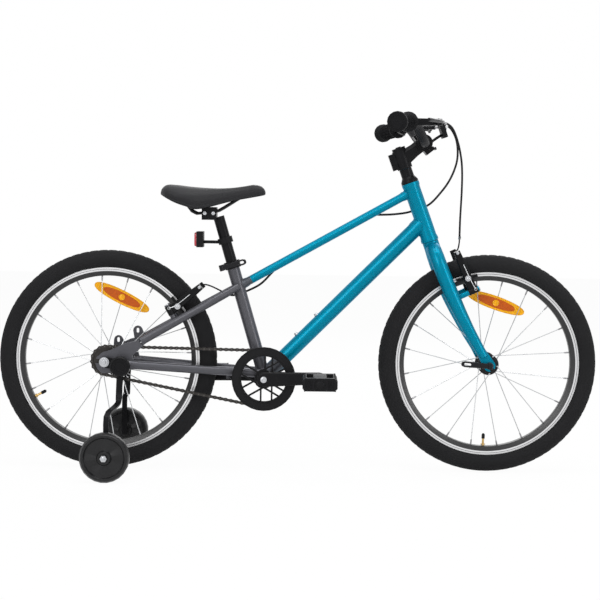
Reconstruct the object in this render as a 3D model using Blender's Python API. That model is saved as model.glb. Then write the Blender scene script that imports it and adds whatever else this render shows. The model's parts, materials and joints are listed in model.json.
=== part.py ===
"""A kids' bicycle with 20 inch wheels and stabilisers, built piece by piece.

Metres. +X is forward, +Y is the rider's left and +Z is up. The origin is on the ground, midway between
the two axles. The drive side, with the chain and the chainring, is at -Y. In a side view, X is forward,
Y is up and Z is the distance from the bike's middle plane towards the drive side.
"""

import math

import bmesh
import bpy
from mathutils import Matrix, Vector

# Clearances between pieces
GAP = 0.0003
TURNING_GAP = 0.0005
NOODLE_GAP = 0.0014

# Wheels, both alike
WHEELBASE = 0.875
TYRE_RADIUS = 0.252
TYRE_WIDTH = 0.050
TYRE_HEIGHT = 0.0397
TYRE_SECTION = ((0, 0.40), (0.46, 0.98), (0.78, 0.93), (1, 0.34))
RIM_WIDTH = 0.025
RIM_DEPTH = 0.020
RIM_TRACK_HEIGHT = 0.009
RIM_INNER_WIDTH = 0.015
RIM_STEPS = 48
SPOKE_COUNT = 20
SPOKE_RADIUS = 0.0010
SPOKE_RIM_PLACE = 0.002
SPOKE_LACING_TURN = math.radians(36)
FRONT_SPOKE_TURN = math.radians(8.2)
REAR_SPOKE_TURN = math.radians(4.6)
FLANGE_RADIUS = 0.024
FLANGE_THICKNESS = 0.003
FLANGE_PLACE = 0.0285
SPOKE_HOLE_RADIUS = 0.0208
HUB_SHELL_RADIUS = 0.014
HUB_END_RADIUS = 0.0095
REAR_HUB_DRIVE_END = 0.0345
AXLE_RADIUS = 0.0045
CONE_RADIUS = 0.0085
CONE_LENGTH = 0.006
AXLE_NUT_RADIUS = 0.0095
AXLE_NUT_HEIGHT = 0.008
SPOKE_REFLECTOR_LENGTH = 0.139
SPOKE_REFLECTOR_HEIGHT = 0.032
SPOKE_REFLECTOR_THICKNESS = 0.004
SPOKE_REFLECTOR_CLIP_RADIUS = 0.004
FRONT_REFLECTOR_PLACE = (0.0178, 0.1403)
FRONT_REFLECTOR_TILT = math.radians(-19)
REAR_REFLECTOR_PLACE = (0.0299, 0.1423)
REAR_REFLECTOR_TILT = math.radians(-26)

# Steering axis: distances along it are counted up from the point nearest to the front axle
HEAD_ANGLE = math.radians(70)
FORK_OFFSET = 0.032
HEAD_TUBE_LOW = 0.3105
HEAD_TUBE_LENGTH = 0.1415
HEAD_TUBE_RADIUS = 0.019
HEAD_TUBE_WALL = 0.0019
HEAD_TUBE_FLARE = 0.0015
HEAD_TUBE_FLARE_LENGTH = 0.006
BEARING_HEIGHT = 0.007
STEERER_RADIUS = 0.0125
CROWN_GAP = 0.0008
HEADSET_COVER_HEIGHT = 0.014
HEADSET_COVER_RADIUS = 0.0200
SPACER_HEIGHT = 0.020
SPACER_RADIUS = 0.0145

# Fork
FORK_SPACING = 0.100
FORK_DROPOUT_RADIUS = 0.0135
DROPOUT_THICKNESS = 0.005
LEG_TOP_RADIUS = 0.0172
LEG_LOW_RADIUS = 0.0108
LEG_TOP_SPREAD = 0.047
LEG_LOW_END = 0.024
LEG_RAKE_START = 0.270
CROWN_HEIGHT = 0.046
CROWN_RADIUS = 0.0185

# Stem and handlebar
STEM_CLAMP_HEIGHT = 0.044
STEM_CLAMP_RADIUS = 0.0175
STEM_CAP_HEIGHT = 0.006
STEM_REACH = 0.0589
STEM_DROP_FROM_TOP = 0.0025
STEM_BODY_HEIGHT = 0.030
STEM_BODY_WIDTH = 0.028
STEM_EAR_LENGTH = 0.010
STEM_BOLT_RADIUS = 0.0042
BAR_CLAMP_RADIUS = 0.0195
BAR_CLAMP_WIDTH = 0.042
FACEPLATE_GAP = 0.0015
FACEPLATE_HALF_HEIGHT = 0.0265
BAR_CENTRE_RADIUS = 0.0127
BAR_RADIUS = 0.0111
BAR_TAPER = (0.034, 0.110)
BAR_BENDS = (
    (0, 0, 0.018), (0, 0, 0.034), (-0.0028, 0.0022, 0.046), (-0.012, 0.0165, 0.070), (-0.0225, 0.033, 0.090),
)
BAR_STRAIGHT_START = 0.115
BAR_HALF_WIDTH = 0.280
BAR_SET_BACK = 0.079
BAR_END_RISE = 0.0333
BAR_SWEEP = math.radians(16)
BAR_END_DROP = 0.055
GRIP_START = 0.170
GRIP_FLANGE_RADIUS = 0.0222
GRIP_FLANGE_WIDTH = 0.005
GRIP_BODY_RADIUS = 0.0180
GRIP_END_RADIUS = 0.0222
GRIP_END_WALL = 0.0025

# Brake levers, placed from the bar's centre line
PERCH_PLACE = 0.143
PERCH_RING_RADIUS = 0.0155
PERCH_RING_WIDTH = 0.014
PERCH_BODY = ((0.012, 0, 0.0085), (0.040, 0.006, 0.0085), (0.061, 0.011, 0.0085))
PERCH_HEIGHT = 0.0145
PERCH_SLOT_START = 0.0485
LEVER_HEIGHT = 0.0080
LEVER_THICKNESS = 0.0065
LEVER_EYE_RADIUS = 0.0072
LEVER_PIN_RADIUS = 0.0025
LEVER_BENDS = ((0.070, -0.007), (0.0585, -0.042), (0.0308, -0.097))
BARREL_RADIUS = 0.0050
BARREL_FROM = (0.040, 0.014)
BARREL_TO = (0.074, 0.042)

# Front reflector
FRONT_PLATE_CENTRE = (0.3250, 0.7865)
FRONT_PLATE_TILT = math.radians(18)
FRONT_PLATE_WIDTH = 0.050
FRONT_PLATE_HEIGHT = 0.036
FRONT_PLATE_DEPTH = 0.011
FRONT_BRACKET_PLACE = 0.027
FRONT_BRACKET_WIDTH = 0.008
FRONT_BRACKET_WALL = 0.003

# Frame tubes
SEAT_ANGLE = math.radians(73.5)
BRACKET_X = -0.077
BRACKET_Z = 0.214
SEAT_TUBE_LENGTH = 0.272
SEAT_TUBE_RADIUS = 0.0145
SEAT_TUBE_WALL = 0.0015
TOP_TUBE_RADIUS = 0.0095
TOP_TUBE_WALL = 0.0018
TOP_TUBE_AT_HEAD = 0.1214
TOP_TUBE_AT_SEAT = 0.2169
DOWN_TUBE_RADIUS = 0.0175
DOWN_TUBE_WALL = 0.0016
DOWN_TUBE_AT_HEAD = 0.0483
WELD_FLARE = 0.0012
WELD_LENGTH = 0.012
SHELL_RADIUS = 0.020
SHELL_WALL = 0.0028
SHELL_WIDTH = 0.068
SEAT_STAY_TOP_RADIUS = 0.0092
SEAT_STAY_LOW_RADIUS = 0.0105
SEAT_STAY_AT_SEAT = 0.2175
SEAT_STAY_RISE = 0.570
SEAT_STAY_SPREAD = (
    (-0.1387, 0.0155), (-0.157, 0.0225), (-0.182, 0.0345), (-0.210, 0.0405), (-0.2885, 0.0475),
)
SEAT_STAY_END = -0.357
CHAIN_STAY_RADIUS = 0.0100
CHAIN_STAY_RISE = 0.009
CHAIN_STAY_SPREAD = (
    (-0.077, 0.0220), (-0.150, 0.0280), (-0.175, 0.0325), (-0.2055, 0.0405), (-0.300, 0.0510),
)
CHAIN_STAY_END = -0.385
CHAIN_STAY_END_DROP = 0.0072
STAY_END_PLACE = 0.0595
REAR_SPACING = 0.116
DROPOUT_OUTLINE = (
    (-0.3530, 0.2858), (-0.3616, 0.3002), (-0.3935, 0.2925), (-0.4252, 0.2775), (-0.4440, 0.2716),
    (-0.4569, 0.2612), (-0.4598, 0.2467), (-0.4555, 0.2338), (-0.4453, 0.2238), (-0.4252, 0.2241),
    (-0.3950, 0.2335), (-0.3731, 0.2336), (-0.3731, 0.2537), (-0.3760, 0.2653),
)
DISC_EYES = ((0.0608, 0.0609, 0.0112), (0.0153, 0.0384, 0.0105))
DISC_EYE_FEET = ((0.0655, 0.044, 0.013), (0.0195, 0.018, 0.016))
DISC_EYE_HOLE = 0.0031
DISC_EYE_SLOT = 0.0025
BRIDGE_X = -0.160
BRIDGE_LENGTH = 0.030
BRIDGE_THICKNESS = 0.006
STAND_STUB_LENGTH = 0.018
STAND_STUB_RADIUS = 0.005

# Seat post, clamp and saddle
POST_RADIUS = 0.0127
POST_LOW = 0.150
POST_HEAD = 0.384
COLLAR_LOW = 0.2605
COLLAR_HEIGHT = 0.017
COLLAR_WALL = 0.004
COLLAR_EAR_REACH = 0.031
COLLAR_EAR_HALF_WIDTH = 0.0095
COLLAR_SLIT = 0.002
SADDLE_CLAMP_X = (-0.2235, -0.1900)
SADDLE_CLAMP_Z = (0.5750, 0.6040)
SADDLE_CLAMP_HALF_WIDTH = 0.027
RAIL_RADIUS = 0.0035
RAIL_ROUTE = (
    (-0.2640, 0.022, 0.6280), (-0.2560, 0.022, 0.6080), (-0.2410, 0.022, 0.5905), (-0.2230, 0.022, 0.5905),
    (-0.2000, 0.022, 0.5925), (-0.1850, 0.0215, 0.5965), (-0.1650, 0.0160, 0.6085), (-0.1420, 0.0105, 0.6230),
    (-0.1250, 0.0080, 0.6330),
)
RAIL_NOSE_X = -0.1180
SADDLE_LENGTH = 0.2376
SADDLE_TAIL_X = -0.3166
SADDLE_LINES = (
    (0.000, 0.6375, 0.6325, 0.034), (0.012, 0.6455, 0.6300, 0.047), (0.060, 0.6535, 0.6235, 0.064),
    (0.150, 0.6535, 0.6130, 0.0735), (0.250, 0.6510, 0.6052, 0.0740), (0.345, 0.6490, 0.5990, 0.0690),
    (0.450, 0.6475, 0.6040, 0.0560), (0.560, 0.6470, 0.6110, 0.0410), (0.680, 0.6485, 0.6185, 0.0300),
    (0.790, 0.6520, 0.6235, 0.0245), (0.890, 0.6560, 0.6280, 0.0220), (0.955, 0.6535, 0.6310, 0.0195),
    (0.988, 0.6470, 0.6330, 0.0140), (1.000, 0.6410, 0.6350, 0.0080),
)
SADDLE_SECTION = (
    (0, 1), (0.35, 0.98), (0.65, 0.91), (0.90, 0.70), (1.0, 0.42), (0.96, 0.03), (0.90, 0), (0.82, 0.12),
    (0.50, 0.32), (0, 0.38),
)
SADDLE_STATIONS = 19
REAR_REFLECTOR_AT = 0.3205
REFLECTOR_COLLAR_RADIUS = 0.0170
REFLECTOR_COLLAR_HEIGHT = 0.014
REFLECTOR_X = (-0.2355, -0.2200)
REFLECTOR_Z = (0.512, 0.548)
REFLECTOR_HALF_WIDTH = 0.025
REFLECTOR_ARM_HALF_WIDTH = 0.006
REFLECTOR_ARM_THICKNESS = 0.007

# Crank group
CRANK_LENGTH = 0.127
CRANK_RISE = math.radians(2.7)
SPINDLE_RADIUS = 0.0085
SPINDLE_END_RADIUS = 0.0068
SPINDLE_SHOULDER = 0.0425
SPINDLE_HALF_LENGTH = 0.0650
CUP_RADIUS = 0.0195
CUP_LIP = 0.0025
CHAIN_LINE = 0.045
CHAIN_PITCH = 0.0127
RING_TEETH = 32
SPROCKET_TEETH = 16
TOOTH_PLATE_THICKNESS = 0.0020
TOOTH_PLATE_INNER_RADIUS = 0.0515
TOOTH_OVER_PITCH = 0.0020
TOOTH_UNDER_PITCH = 0.0036
GUARD_RADIUS = 0.0733
GUARD_INNER_RADIUS = 0.0525
GUARD_THICKNESS = 0.0025
GUARD_FROM_CHAIN = 0.0004
RING_ARM_WIDTH = 0.0040
RING_ARM_REACH = 0.0588
RING_ARMS = (
    (30, 0.003), (30, -0.018), (90, 0.003), (90, 0.0190), (150, 0.0065), (150, -0.0165),
    (210, 0.0065), (210, -0.0165), (270, 0.0065), (270, -0.0185), (330, 0.0005), (330, 0.0170),
)
RING_BOSS_RADIUS = 0.0222
CHAIN_UNDER_PITCH = 0.0042
CHAIN_OVER_PITCH = 0.0041
CHAIN_GROOVE_OVER_PITCH = 0.0030
CHAIN_WIDTH = 0.0076
CHAIN_GROOVE_WIDTH = 0.0034
FREEWHEEL_RADIUS = 0.0220
FREEWHEEL_WIDTH = 0.0110
FREEWHEEL_NECK_RADIUS = 0.0150
CRANK_ARM_BIG_RADIUS = 0.017
CRANK_ARM_SMALL_RADIUS = 0.0135
CRANK_ARM_THICKNESS = 0.012
CRANK_ARM_PLACE = 0.0582
CRANK_ARM_END_PLACE = 0.0740
CRANK_ARM_CORNER = 0.0025
PEDAL_AXLE_RADIUS = 0.0045
PEDAL_BODY_START = 0.1000
PEDAL_BODY_WIDTH = 0.0970
PEDAL_LENGTH = 0.077
PEDAL_HEIGHT = 0.029
PEDAL_CORNER = 0.006
PEDAL_WINDOW = (0.0150, 0.0295)
PEDAL_WINDOW_END = 0.012
PEDAL_CAP_WALL = 0.010

# Rim brakes, both alike apart from the length of their bosses
PIVOT_SPREAD = 0.040
PIVOT_PIN_RADIUS = 0.0040
PIVOT_BOLT_RADIUS = 0.0065
PIVOT_BOLT_HEIGHT = 0.003
BOSS_RADIUS = 0.0065
FRONT_BOSS_LENGTH = 0.0380
REAR_BOSS_LENGTH = 0.0170
FRONT_PIVOT_AT = 0.169
REAR_PIVOT_X = -0.2794
FRONT_ARM_SIZE = (0.098, 0.001)
REAR_ARM_SIZE = (0.090, 0.014)
BRAKE_ARM_LOW_DEPTH = 0.020
BRAKE_ARM_TOP_DEPTH = 0.014
BRAKE_ARM_THICKNESS = 0.010
BRAKE_ARM_TOP_SPREAD = 0.047
BRAKE_SLEEVE_RADIUS = 0.0075
BRAKE_SLEEVE_LENGTH = 0.022
PAD_RADIUS = 0.2052
PAD_LENGTH = 0.050
PAD_HEIGHT = 0.0060
PAD_THICKNESS = 0.009
PAD_GAP = 0.0035
PAD_STUD_RADIUS = 0.003
NOODLE_RADIUS = 0.0018

# Cable housings: their routes are points of (forward, up, towards the drive side)
HOUSING_RADIUS = 0.0025
PORT_CLEARANCE = 0.0009
HOUSING_POINTS = 44
FRONT_HOUSING_ROUTE = (
    (0.3400, 0.7860, 0.0850), (0.3530, 0.7556, 0.0780), (0.3618, 0.7207, 0.0680), (0.3659, 0.6892, 0.0550),
    (0.3676, 0.6517, 0.0400), (0.3680, 0.6150, 0.0240), (0.3684, 0.5819, 0.0080), (0.3697, 0.5585, -0.0080),
)
FRONT_HOUSING_END = (0.3708, 0.5382, -0.0200)
FRONT_NOODLE_ROUTE = (
    (0.3706, 0.5270, -0.0235), (0.3690, 0.5150, -0.0300), (0.3655, 0.5080, -0.0390),
    (0.3622, 0.5060, -0.0465),
)
REAR_HOUSING_ROUTE = (
    (0.3390, 0.8020, -0.0880), (0.3530, 0.7940, -0.0875), (0.3650, 0.7700, -0.0840),
    (0.3687, 0.7406, -0.0780), (0.3649, 0.7109, -0.0700), (0.3502, 0.6755, -0.0600),
    (0.3280, 0.6441, -0.0510), (0.2981, 0.6146, -0.0420), (0.2547, 0.5986, -0.0330),
    (0.2195, 0.5930, -0.0225), (0.1900, 0.5915, -0.0115), (0.1650, 0.5905, -0.0035),
    (0.1400, 0.5790, 0), (0.0500, 0.5285, 0), (-0.0200, 0.4890, 0), (-0.0450, 0.4720, 0),
    (-0.0629, 0.4540, -0.0030), (-0.0882, 0.4279, -0.0110), (-0.1210, 0.4100, -0.0210),
    (-0.1400, 0.4030, -0.0215),
    (-0.1520, 0.4005, -0.0180), (-0.1640, 0.4030, -0.0125),
)
REAR_HOUSING_END = (-0.1759, 0.4090, -0.0090)
REAR_NOODLE_ROUTE = (
    (-0.1930, 0.4168, -0.0140), (-0.2060, 0.4215, -0.0240), (-0.2170, 0.4235, -0.0360),
    (-0.2225, 0.4225, -0.0465),
)

# Stabilisers
STABILISER_RADIUS = 0.055
STABILISER_WIDTH = 0.030
STABILISER_X = -0.4205
STABILISER_PLACE = 0.200
STABILISER_STEPS = 24
STABILISER_BLADES = 6
STABILISER_BLADE_RISE = 0.004
STABILISER_HUB_RADIUS = 0.014
STABILISER_WEB = 0.011
STABILISER_LIP = 0.0460
KNOB_X = -0.4005
KNOB_Z = 0.2430
KNOB_RADIUS = 0.0235
KNOB_HEIGHT = 0.018
KNOB_STUD_RADIUS = 0.003
BRACKET_PLACE = 0.0755
BRACKET_THICKNESS = 0.0030
BRACKET_FOOT = (-0.4050, 0.1660, 0.0065)
STRUT_WIDTH = 0.0125
STRUT_THICKNESS = 0.004
STRUT_ROUTE = (
    (-0.4020, 0.2000, 0), (-0.4025, 0.1740, 0.0005), (-0.4040, 0.1600, 0.0110), (-0.4100, 0.1535, 0.0450),
    (-0.4160, 0.1495, 0.0800), (-0.4195, 0.1420, 0.0910), (-0.4205, 0.1250, 0.0935),
)
STABILISER_BOLT_RADIUS = 0.004
STABILISER_BOLT_HEAD = 0.0085

# Quick-release levers
QUICK_LEVER_HEIGHT = 0.014
QUICK_LEVER_THICKNESS = 0.005
QUICK_LEVER_BARREL = 0.0055
QUICK_LEVER_HOLE = 0.0028
FRONT_LEVER_LENGTH = 0.066
FRONT_LEVER_RISE = math.radians(4.5)
SEAT_LEVER_LENGTH = 0.058
SEAT_LEVER_AHEAD = -0.0242
SEAT_LEVER_SIDE = 0.0220
CAM_HEIGHT = 0.005

# Worked out from the sizes above
AXLE_HEIGHT = TYRE_RADIUS * math.cos(math.pi / RIM_STEPS)
RIM_RADIUS = TYRE_RADIUS - TYRE_HEIGHT - GAP
RIM_INNER_RADIUS = RIM_RADIUS - RIM_DEPTH
RING_PITCH_RADIUS = CHAIN_PITCH / (2 * math.sin(math.pi / RING_TEETH))
SPROCKET_PITCH_RADIUS = CHAIN_PITCH / (2 * math.sin(math.pi / SPROCKET_TEETH))
FRONT_AXLE = Vector((WHEELBASE / 2, 0, AXLE_HEIGHT))
REAR_AXLE = Vector((-WHEELBASE / 2, 0, AXLE_HEIGHT))
BRACKET = Vector((BRACKET_X, 0, BRACKET_Z))
FORWARD, LEFT, UP = Vector((1, 0, 0)), Vector((0, 1, 0)), Vector((0, 0, 1))
RIGHT = -LEFT


def frame_at(origin, up, forward):
    """A frame whose Z points along up and whose X points as near to forward as it can."""
    z_axis = Vector(up).normalized()
    y_axis = z_axis.cross(Vector(forward)).normalized()
    x_axis = y_axis.cross(z_axis)
    turn = Matrix((x_axis, y_axis, z_axis)).transposed()
    return Matrix.Translation(origin) @ turn.to_4x4()


def side_view(origin=(0, 0, 0), turn=0.0):
    """A frame with X forward, Y up and Z towards the drive side, turned about Z."""
    return frame_at(origin, RIGHT, FORWARD) @ Matrix.Rotation(turn, 4, "Z")


def world(ahead, height, right=0.0):
    """A point given as forward, up and towards the drive side."""
    return Vector((ahead, -right, height))


STEERING_UP = Vector((-math.cos(HEAD_ANGLE), 0, math.sin(HEAD_ANGLE)))
STEERING_FORWARD = Vector((math.sin(HEAD_ANGLE), 0, math.cos(HEAD_ANGLE)))
STEERING = frame_at(FRONT_AXLE - FORK_OFFSET * STEERING_FORWARD, STEERING_UP, FORWARD)
SEATING_UP = Vector((-math.cos(SEAT_ANGLE), 0, math.sin(SEAT_ANGLE)))
SEATING = frame_at(BRACKET, SEATING_UP, FORWARD)


def on_steering(ahead, along, side=0.0):
    """The point this far up the steering axis, ahead of it and to its left."""
    return STEERING @ Vector((ahead, side, along))


def on_seat_tube(along):
    """The point this far up the seat tube's axis from the bottom bracket."""
    return SEATING @ Vector((0, 0, along))


HEADSET_LOW = HEAD_TUBE_LOW + HEAD_TUBE_LENGTH + GAP
STEM_LOW = HEADSET_LOW + HEADSET_COVER_HEIGHT + SPACER_HEIGHT + GAP
STEM_TOP = STEM_LOW + STEM_CLAMP_HEIGHT
BAR_CENTRE = on_steering(STEM_REACH, STEM_TOP - STEM_DROP_FROM_TOP)
BAR_END = BAR_CENTRE + Vector((-BAR_SET_BACK, -BAR_HALF_WIDTH, BAR_END_RISE))
CROWN_TOP = HEAD_TUBE_LOW - CROWN_GAP
TOP_TUBE_FRONT = on_steering(0, HEAD_TUBE_LOW + TOP_TUBE_AT_HEAD)
TOP_TUBE_BACK = on_seat_tube(TOP_TUBE_AT_SEAT)
DOWN_TUBE_TOP = on_steering(0, HEAD_TUBE_LOW + DOWN_TUBE_AT_HEAD)
POST_BORE = SEAT_TUBE_RADIUS - SEAT_TUBE_WALL
REAR_DROPOUT_INNER = REAR_SPACING / 2
REAR_DROPOUT_OUTER = REAR_DROPOUT_INNER + DROPOUT_THICKNESS
FORK_DROPOUT_INNER = FORK_SPACING / 2
FORK_DROPOUT_OUTER = FORK_DROPOUT_INNER + DROPOUT_THICKNESS
STABILISER_CENTRE_Z = STABILISER_RADIUS * math.cos(math.pi / STABILISER_STEPS)


def paint(name, colour, roughness, metallic=0.0):
    """A plain Principled material."""
    made = bpy.data.materials.new(name)
    made.use_nodes = True
    shader = made.node_tree.nodes["Principled BSDF"]
    shader.inputs["Base Color"].default_value = (*colour, 1)
    shader.inputs["Roughness"].default_value = roughness
    shader.inputs["Metallic"].default_value = metallic
    return made


def shape(bm, matrix=None):
    """A new object in the scene from a bmesh, moved by the matrix."""
    if matrix is not None:
        bm.transform(matrix)
    bmesh.ops.recalc_face_normals(bm, faces=bm.faces)
    mesh = bpy.data.meshes.new("shape")
    bm.to_mesh(mesh)
    bm.free()
    made = bpy.data.objects.new("shape", mesh)
    bpy.context.scene.collection.objects.link(made)
    return made


def combine(body, tools, operation):
    """Applies one Boolean of the body with each tool, and removes the tools."""
    for tool in tools:
        tool.hide_render = True
        tool.display_type = "WIRE"
        step = body.modifiers.new("combine", "BOOLEAN")
        step.operation = operation
        step.object = tool
        graph = bpy.context.evaluated_depsgraph_get()
        made = bpy.data.meshes.new_from_object(body.evaluated_get(graph))
        body.modifiers.clear()
        old = body.data
        body.data = made
        bpy.data.meshes.remove(old)
        bpy.data.objects.remove(tool, do_unlink=True)
    return body


def join(body, *tools):
    return combine(body, tools, "UNION")


def cut(body, *tools):
    return combine(body, tools, "DIFFERENCE")


def mirrored(body):
    """The body, changed into its mirror image on the bike's other side."""
    body.data.transform(Matrix.Scale(-1, 4, LEFT))
    body.data.flip_normals()
    return body


def turned(outline, steps=16, start=0.0):
    """A bmesh of a closed outline of (radius, height) points, turned about Z. A flat face closes it
    where the outline goes to a radius of 0."""
    bm = bmesh.new()
    angles = [start + math.tau * step / steps for step in range(steps)]
    rings = []
    for radius, height in outline:
        spots = [(radius * math.cos(angle), radius * math.sin(angle), height) for angle in angles]
        ring = [bm.verts.new(spot) for spot in spots] if radius else []
        rings.append(ring)
    for low, high in zip(rings, rings[1:] + rings[:1]):
        if low and high:
            for step in range(steps):
                after = (step + 1) % steps
                bm.faces.new((low[step], low[after], high[after], high[step]))
        elif low or high:
            bm.faces.new(low or high)
    return bm


def cylinder(radius, low, high, steps=16):
    """A closed cylinder about Z."""
    return turned([(0, low), (radius, low), (radius, high), (0, high)], steps)


def pipe(outer, inner, low, high, steps=16):
    """A pipe about Z."""
    return turned([(inner, low), (outer, low), (outer, high), (inner, high)], steps)


def rod(first, second, radius, steps=8):
    """A closed cylinder between two points."""
    first, second = Vector(first), Vector(second)
    along = second - first
    aside = LEFT if abs(along.normalized().dot(LEFT)) < 0.9 else UP
    bm = cylinder(radius, 0, along.length, steps)
    bm.transform(frame_at(first, along, aside))
    return bm


def box(low, high):
    """A box between two corners."""
    bm = bmesh.new()
    bmesh.ops.create_cube(bm, size=1)
    middle = (Vector(low) + Vector(high)) / 2
    size = Vector(high) - Vector(low)
    for vert in bm.verts:
        vert.co = middle + Vector([point * side for point, side in zip(vert.co, size)])
    return bm


def plate(outline, low, high):
    """A flat plate of an outline of (x, y) points, from one height to another."""
    bm = bmesh.new()
    under = [bm.verts.new((x, y, low)) for x, y in outline]
    over = [bm.verts.new((x, y, high)) for x, y in outline]
    bm.faces.new(under)
    bm.faces.new(over)
    for step, first in enumerate(under):
        after = (step + 1) % len(outline)
        bm.faces.new((first, under[after], over[after], over[step]))
    return bm


def around(circles, steps=14):
    """The outline of a band stretched round circles of (x, y, radius)."""
    points = []
    for x, y, radius in circles:
        angles = [math.tau * step / steps for step in range(steps)]
        points += [(x + radius * math.cos(angle), y + radius * math.sin(angle)) for angle in angles]
    points = sorted(set(points))

    def half(ordered):
        kept = []
        for point in ordered:
            while len(kept) > 1:
                a, b = kept[-2], kept[-1]
                if (b[0] - a[0]) * (point[1] - a[1]) - (b[1] - a[1]) * (point[0] - a[0]) > 1e-10:
                    break
                kept.pop()
            kept.append(point)
        return kept[:-1]

    return half(points) + half(list(reversed(points)))


def circle(radius, sides=10):
    """Points of a circle."""
    angles = [math.tau * (side + 0.5) / sides for side in range(sides)]
    return [(radius * math.cos(angle), radius * math.sin(angle)) for angle in angles]


def slab(first, second, corner):
    """Points of a rectangle with its corners cut off."""
    a, b = first / 2, second / 2
    return [
        (a - corner, -b), (a, corner - b), (a, b - corner), (a - corner, b),
        (corner - a, b), (-a, b - corner), (-a, corner - b), (corner - a, -b),
    ]


def swept(points, sections, reference=LEFT, closed=False):
    """A bmesh along a path. A section's points are (a, b): b is measured along the reference, carried
    along the path, and a along the direction that is square to it and to the path."""
    bm = bmesh.new()
    points = [Vector(point) for point in points]
    if not isinstance(sections[0], list):
        sections = [sections] * len(points)
    rings = []
    across = Vector(reference)
    last = len(points) - 1
    for place, (point, section) in enumerate(zip(points, sections)):
        before = points[place - 1] if closed or place else point
        after = points[(place + 1) % len(points)] if closed or place < last else point
        tangent = (after - before).normalized()
        across = (across - across.dot(tangent) * tangent).normalized()
        third = across.cross(tangent)
        rings.append([bm.verts.new(point + a * third + b * across) for a, b in section])
    pairs = list(zip(rings, rings[1:]))
    if closed:
        pairs.append((rings[-1], rings[0]))
    for low, high in pairs:
        for side in range(len(low)):
            after = (side + 1) % len(low)
            bm.faces.new((low[side], low[after], high[after], high[side]))
    if not closed:
        bm.faces.new(rings[0])
        bm.faces.new(rings[-1])
    return bm


def smooth_path(points, count):
    """Points read at even steps from a smooth curve through the given points."""
    points = [Vector(point) for point in points]
    fine = []
    steps = 12
    for place in range(len(points) - 1):
        a = points[max(place - 1, 0)]
        b, c = points[place], points[place + 1]
        d = points[min(place + 2, len(points) - 1)]
        for step in range(steps):
            t = step / steps
            bend = (2 * a - 5 * b + 4 * c - d) * t**2 + (3 * b - a - 3 * c + d) * t**3
            fine.append((2 * b + (c - a) * t + bend) / 2)
    fine.append(points[-1])
    lengths = [0.0]
    for first, second in zip(fine, fine[1:]):
        lengths.append(lengths[-1] + (second - first).length)
    even = []
    place = 0
    for step in range(count):
        target = lengths[-1] * step / (count - 1)
        while place < len(fine) - 2 and lengths[place + 1] < target:
            place += 1
        span = lengths[place + 1] - lengths[place]
        even.append(fine[place].lerp(fine[place + 1], min((target - lengths[place]) / span, 1.0)))
    return even


def between(pairs, place):
    """The value at a place, read from (place, value) pairs with straight lines between them."""
    pairs = sorted(pairs)
    if place <= pairs[0][0]:
        return pairs[0][1]
    for (low, first), (high, second) in zip(pairs, pairs[1:]):
        if place <= high:
            return first + (second - first) * (place - low) / (high - low)
    return pairs[-1][1]


# The frame

def frame_tube(start, end, radius, wall):
    """A drawn tube between two points, a little wider at its welded ends."""
    length = (end - start).length
    wide = radius + WELD_FLARE
    places = [
        (wide, 0), (wide, HEAD_TUBE_RADIUS + WELD_LENGTH / 2), (radius, HEAD_TUBE_RADIUS + WELD_LENGTH),
        (radius, length - SEAT_TUBE_RADIUS - WELD_LENGTH),
        (wide, length - SEAT_TUBE_RADIUS - WELD_LENGTH / 2), (wide, length),
    ]
    outline = [(radius - wall, 0)] + places + [(radius - wall, length)]
    return shape(turned(outline), frame_at(start, end - start, LEFT))


def head_tube_solid(extra):
    """The head tube's outer form, grown by extra, as a cutter for the tubes that meet it."""
    reach = HEAD_TUBE_LENGTH + HEAD_TUBE_LOW
    return shape(cylinder(HEAD_TUBE_RADIUS + extra, HEAD_TUBE_LOW, reach, 20), STEERING)


def seat_tube_solid(extra):
    """The seat tube's outer form, grown by extra, as a cutter for the tubes that meet it."""
    return shape(cylinder(SEAT_TUBE_RADIUS + extra, SHELL_RADIUS / 4, SEAT_TUBE_LENGTH), SEATING)


def shell_solid(extra):
    """The bottom bracket shell's outer form, grown by extra, as a cutter."""
    reach = SHELL_WIDTH / 2 + extra
    return shape(cylinder(SHELL_RADIUS + extra, -reach, reach, 22), side_view(BRACKET))


def head_tube():
    inner = HEAD_TUBE_RADIUS - HEAD_TUBE_WALL
    wide = HEAD_TUBE_RADIUS + HEAD_TUBE_FLARE
    low, high = HEAD_TUBE_LOW, HEAD_TUBE_LOW + HEAD_TUBE_LENGTH
    outline = [
        (inner, low), (wide, low), (wide, low + HEAD_TUBE_FLARE_LENGTH),
        (HEAD_TUBE_RADIUS, low + 2 * HEAD_TUBE_FLARE_LENGTH),
        (HEAD_TUBE_RADIUS, high - 2 * HEAD_TUBE_FLARE_LENGTH), (wide, high - HEAD_TUBE_FLARE_LENGTH),
        (wide, high), (inner, high),
    ]
    return shape(turned(outline, 20), STEERING)


def top_tube():
    """The top tube, with the two ports that the rear brake's housing goes through."""
    body = frame_tube(TOP_TUBE_FRONT, TOP_TUBE_BACK, TOP_TUBE_RADIUS, TOP_TUBE_WALL)
    ports = shape(swept(rear_housing_points(), circle(HOUSING_RADIUS + PORT_CLEARANCE, 8)))
    return cut(body, head_tube_solid(GAP), seat_tube_solid(GAP), ports)


def down_tube():
    body = frame_tube(DOWN_TUBE_TOP, BRACKET, DOWN_TUBE_RADIUS, DOWN_TUBE_WALL)
    return cut(body, head_tube_solid(GAP), shell_solid(GAP), seat_tube_solid(GAP))


def seat_tube():
    """The seat tube, welded to the bottom bracket shell."""
    body = join(seat_tube_solid(0), shell_solid(0))
    shell_bore = cylinder(SHELL_RADIUS - SHELL_WALL, -SHELL_WIDTH, SHELL_WIDTH, 22)
    post_bore = cylinder(POST_BORE, SHELL_RADIUS / 2, SEAT_TUBE_LENGTH + COLLAR_HEIGHT)
    return cut(body, shape(shell_bore, side_view(BRACKET)), shape(post_bore, SEATING))


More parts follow.
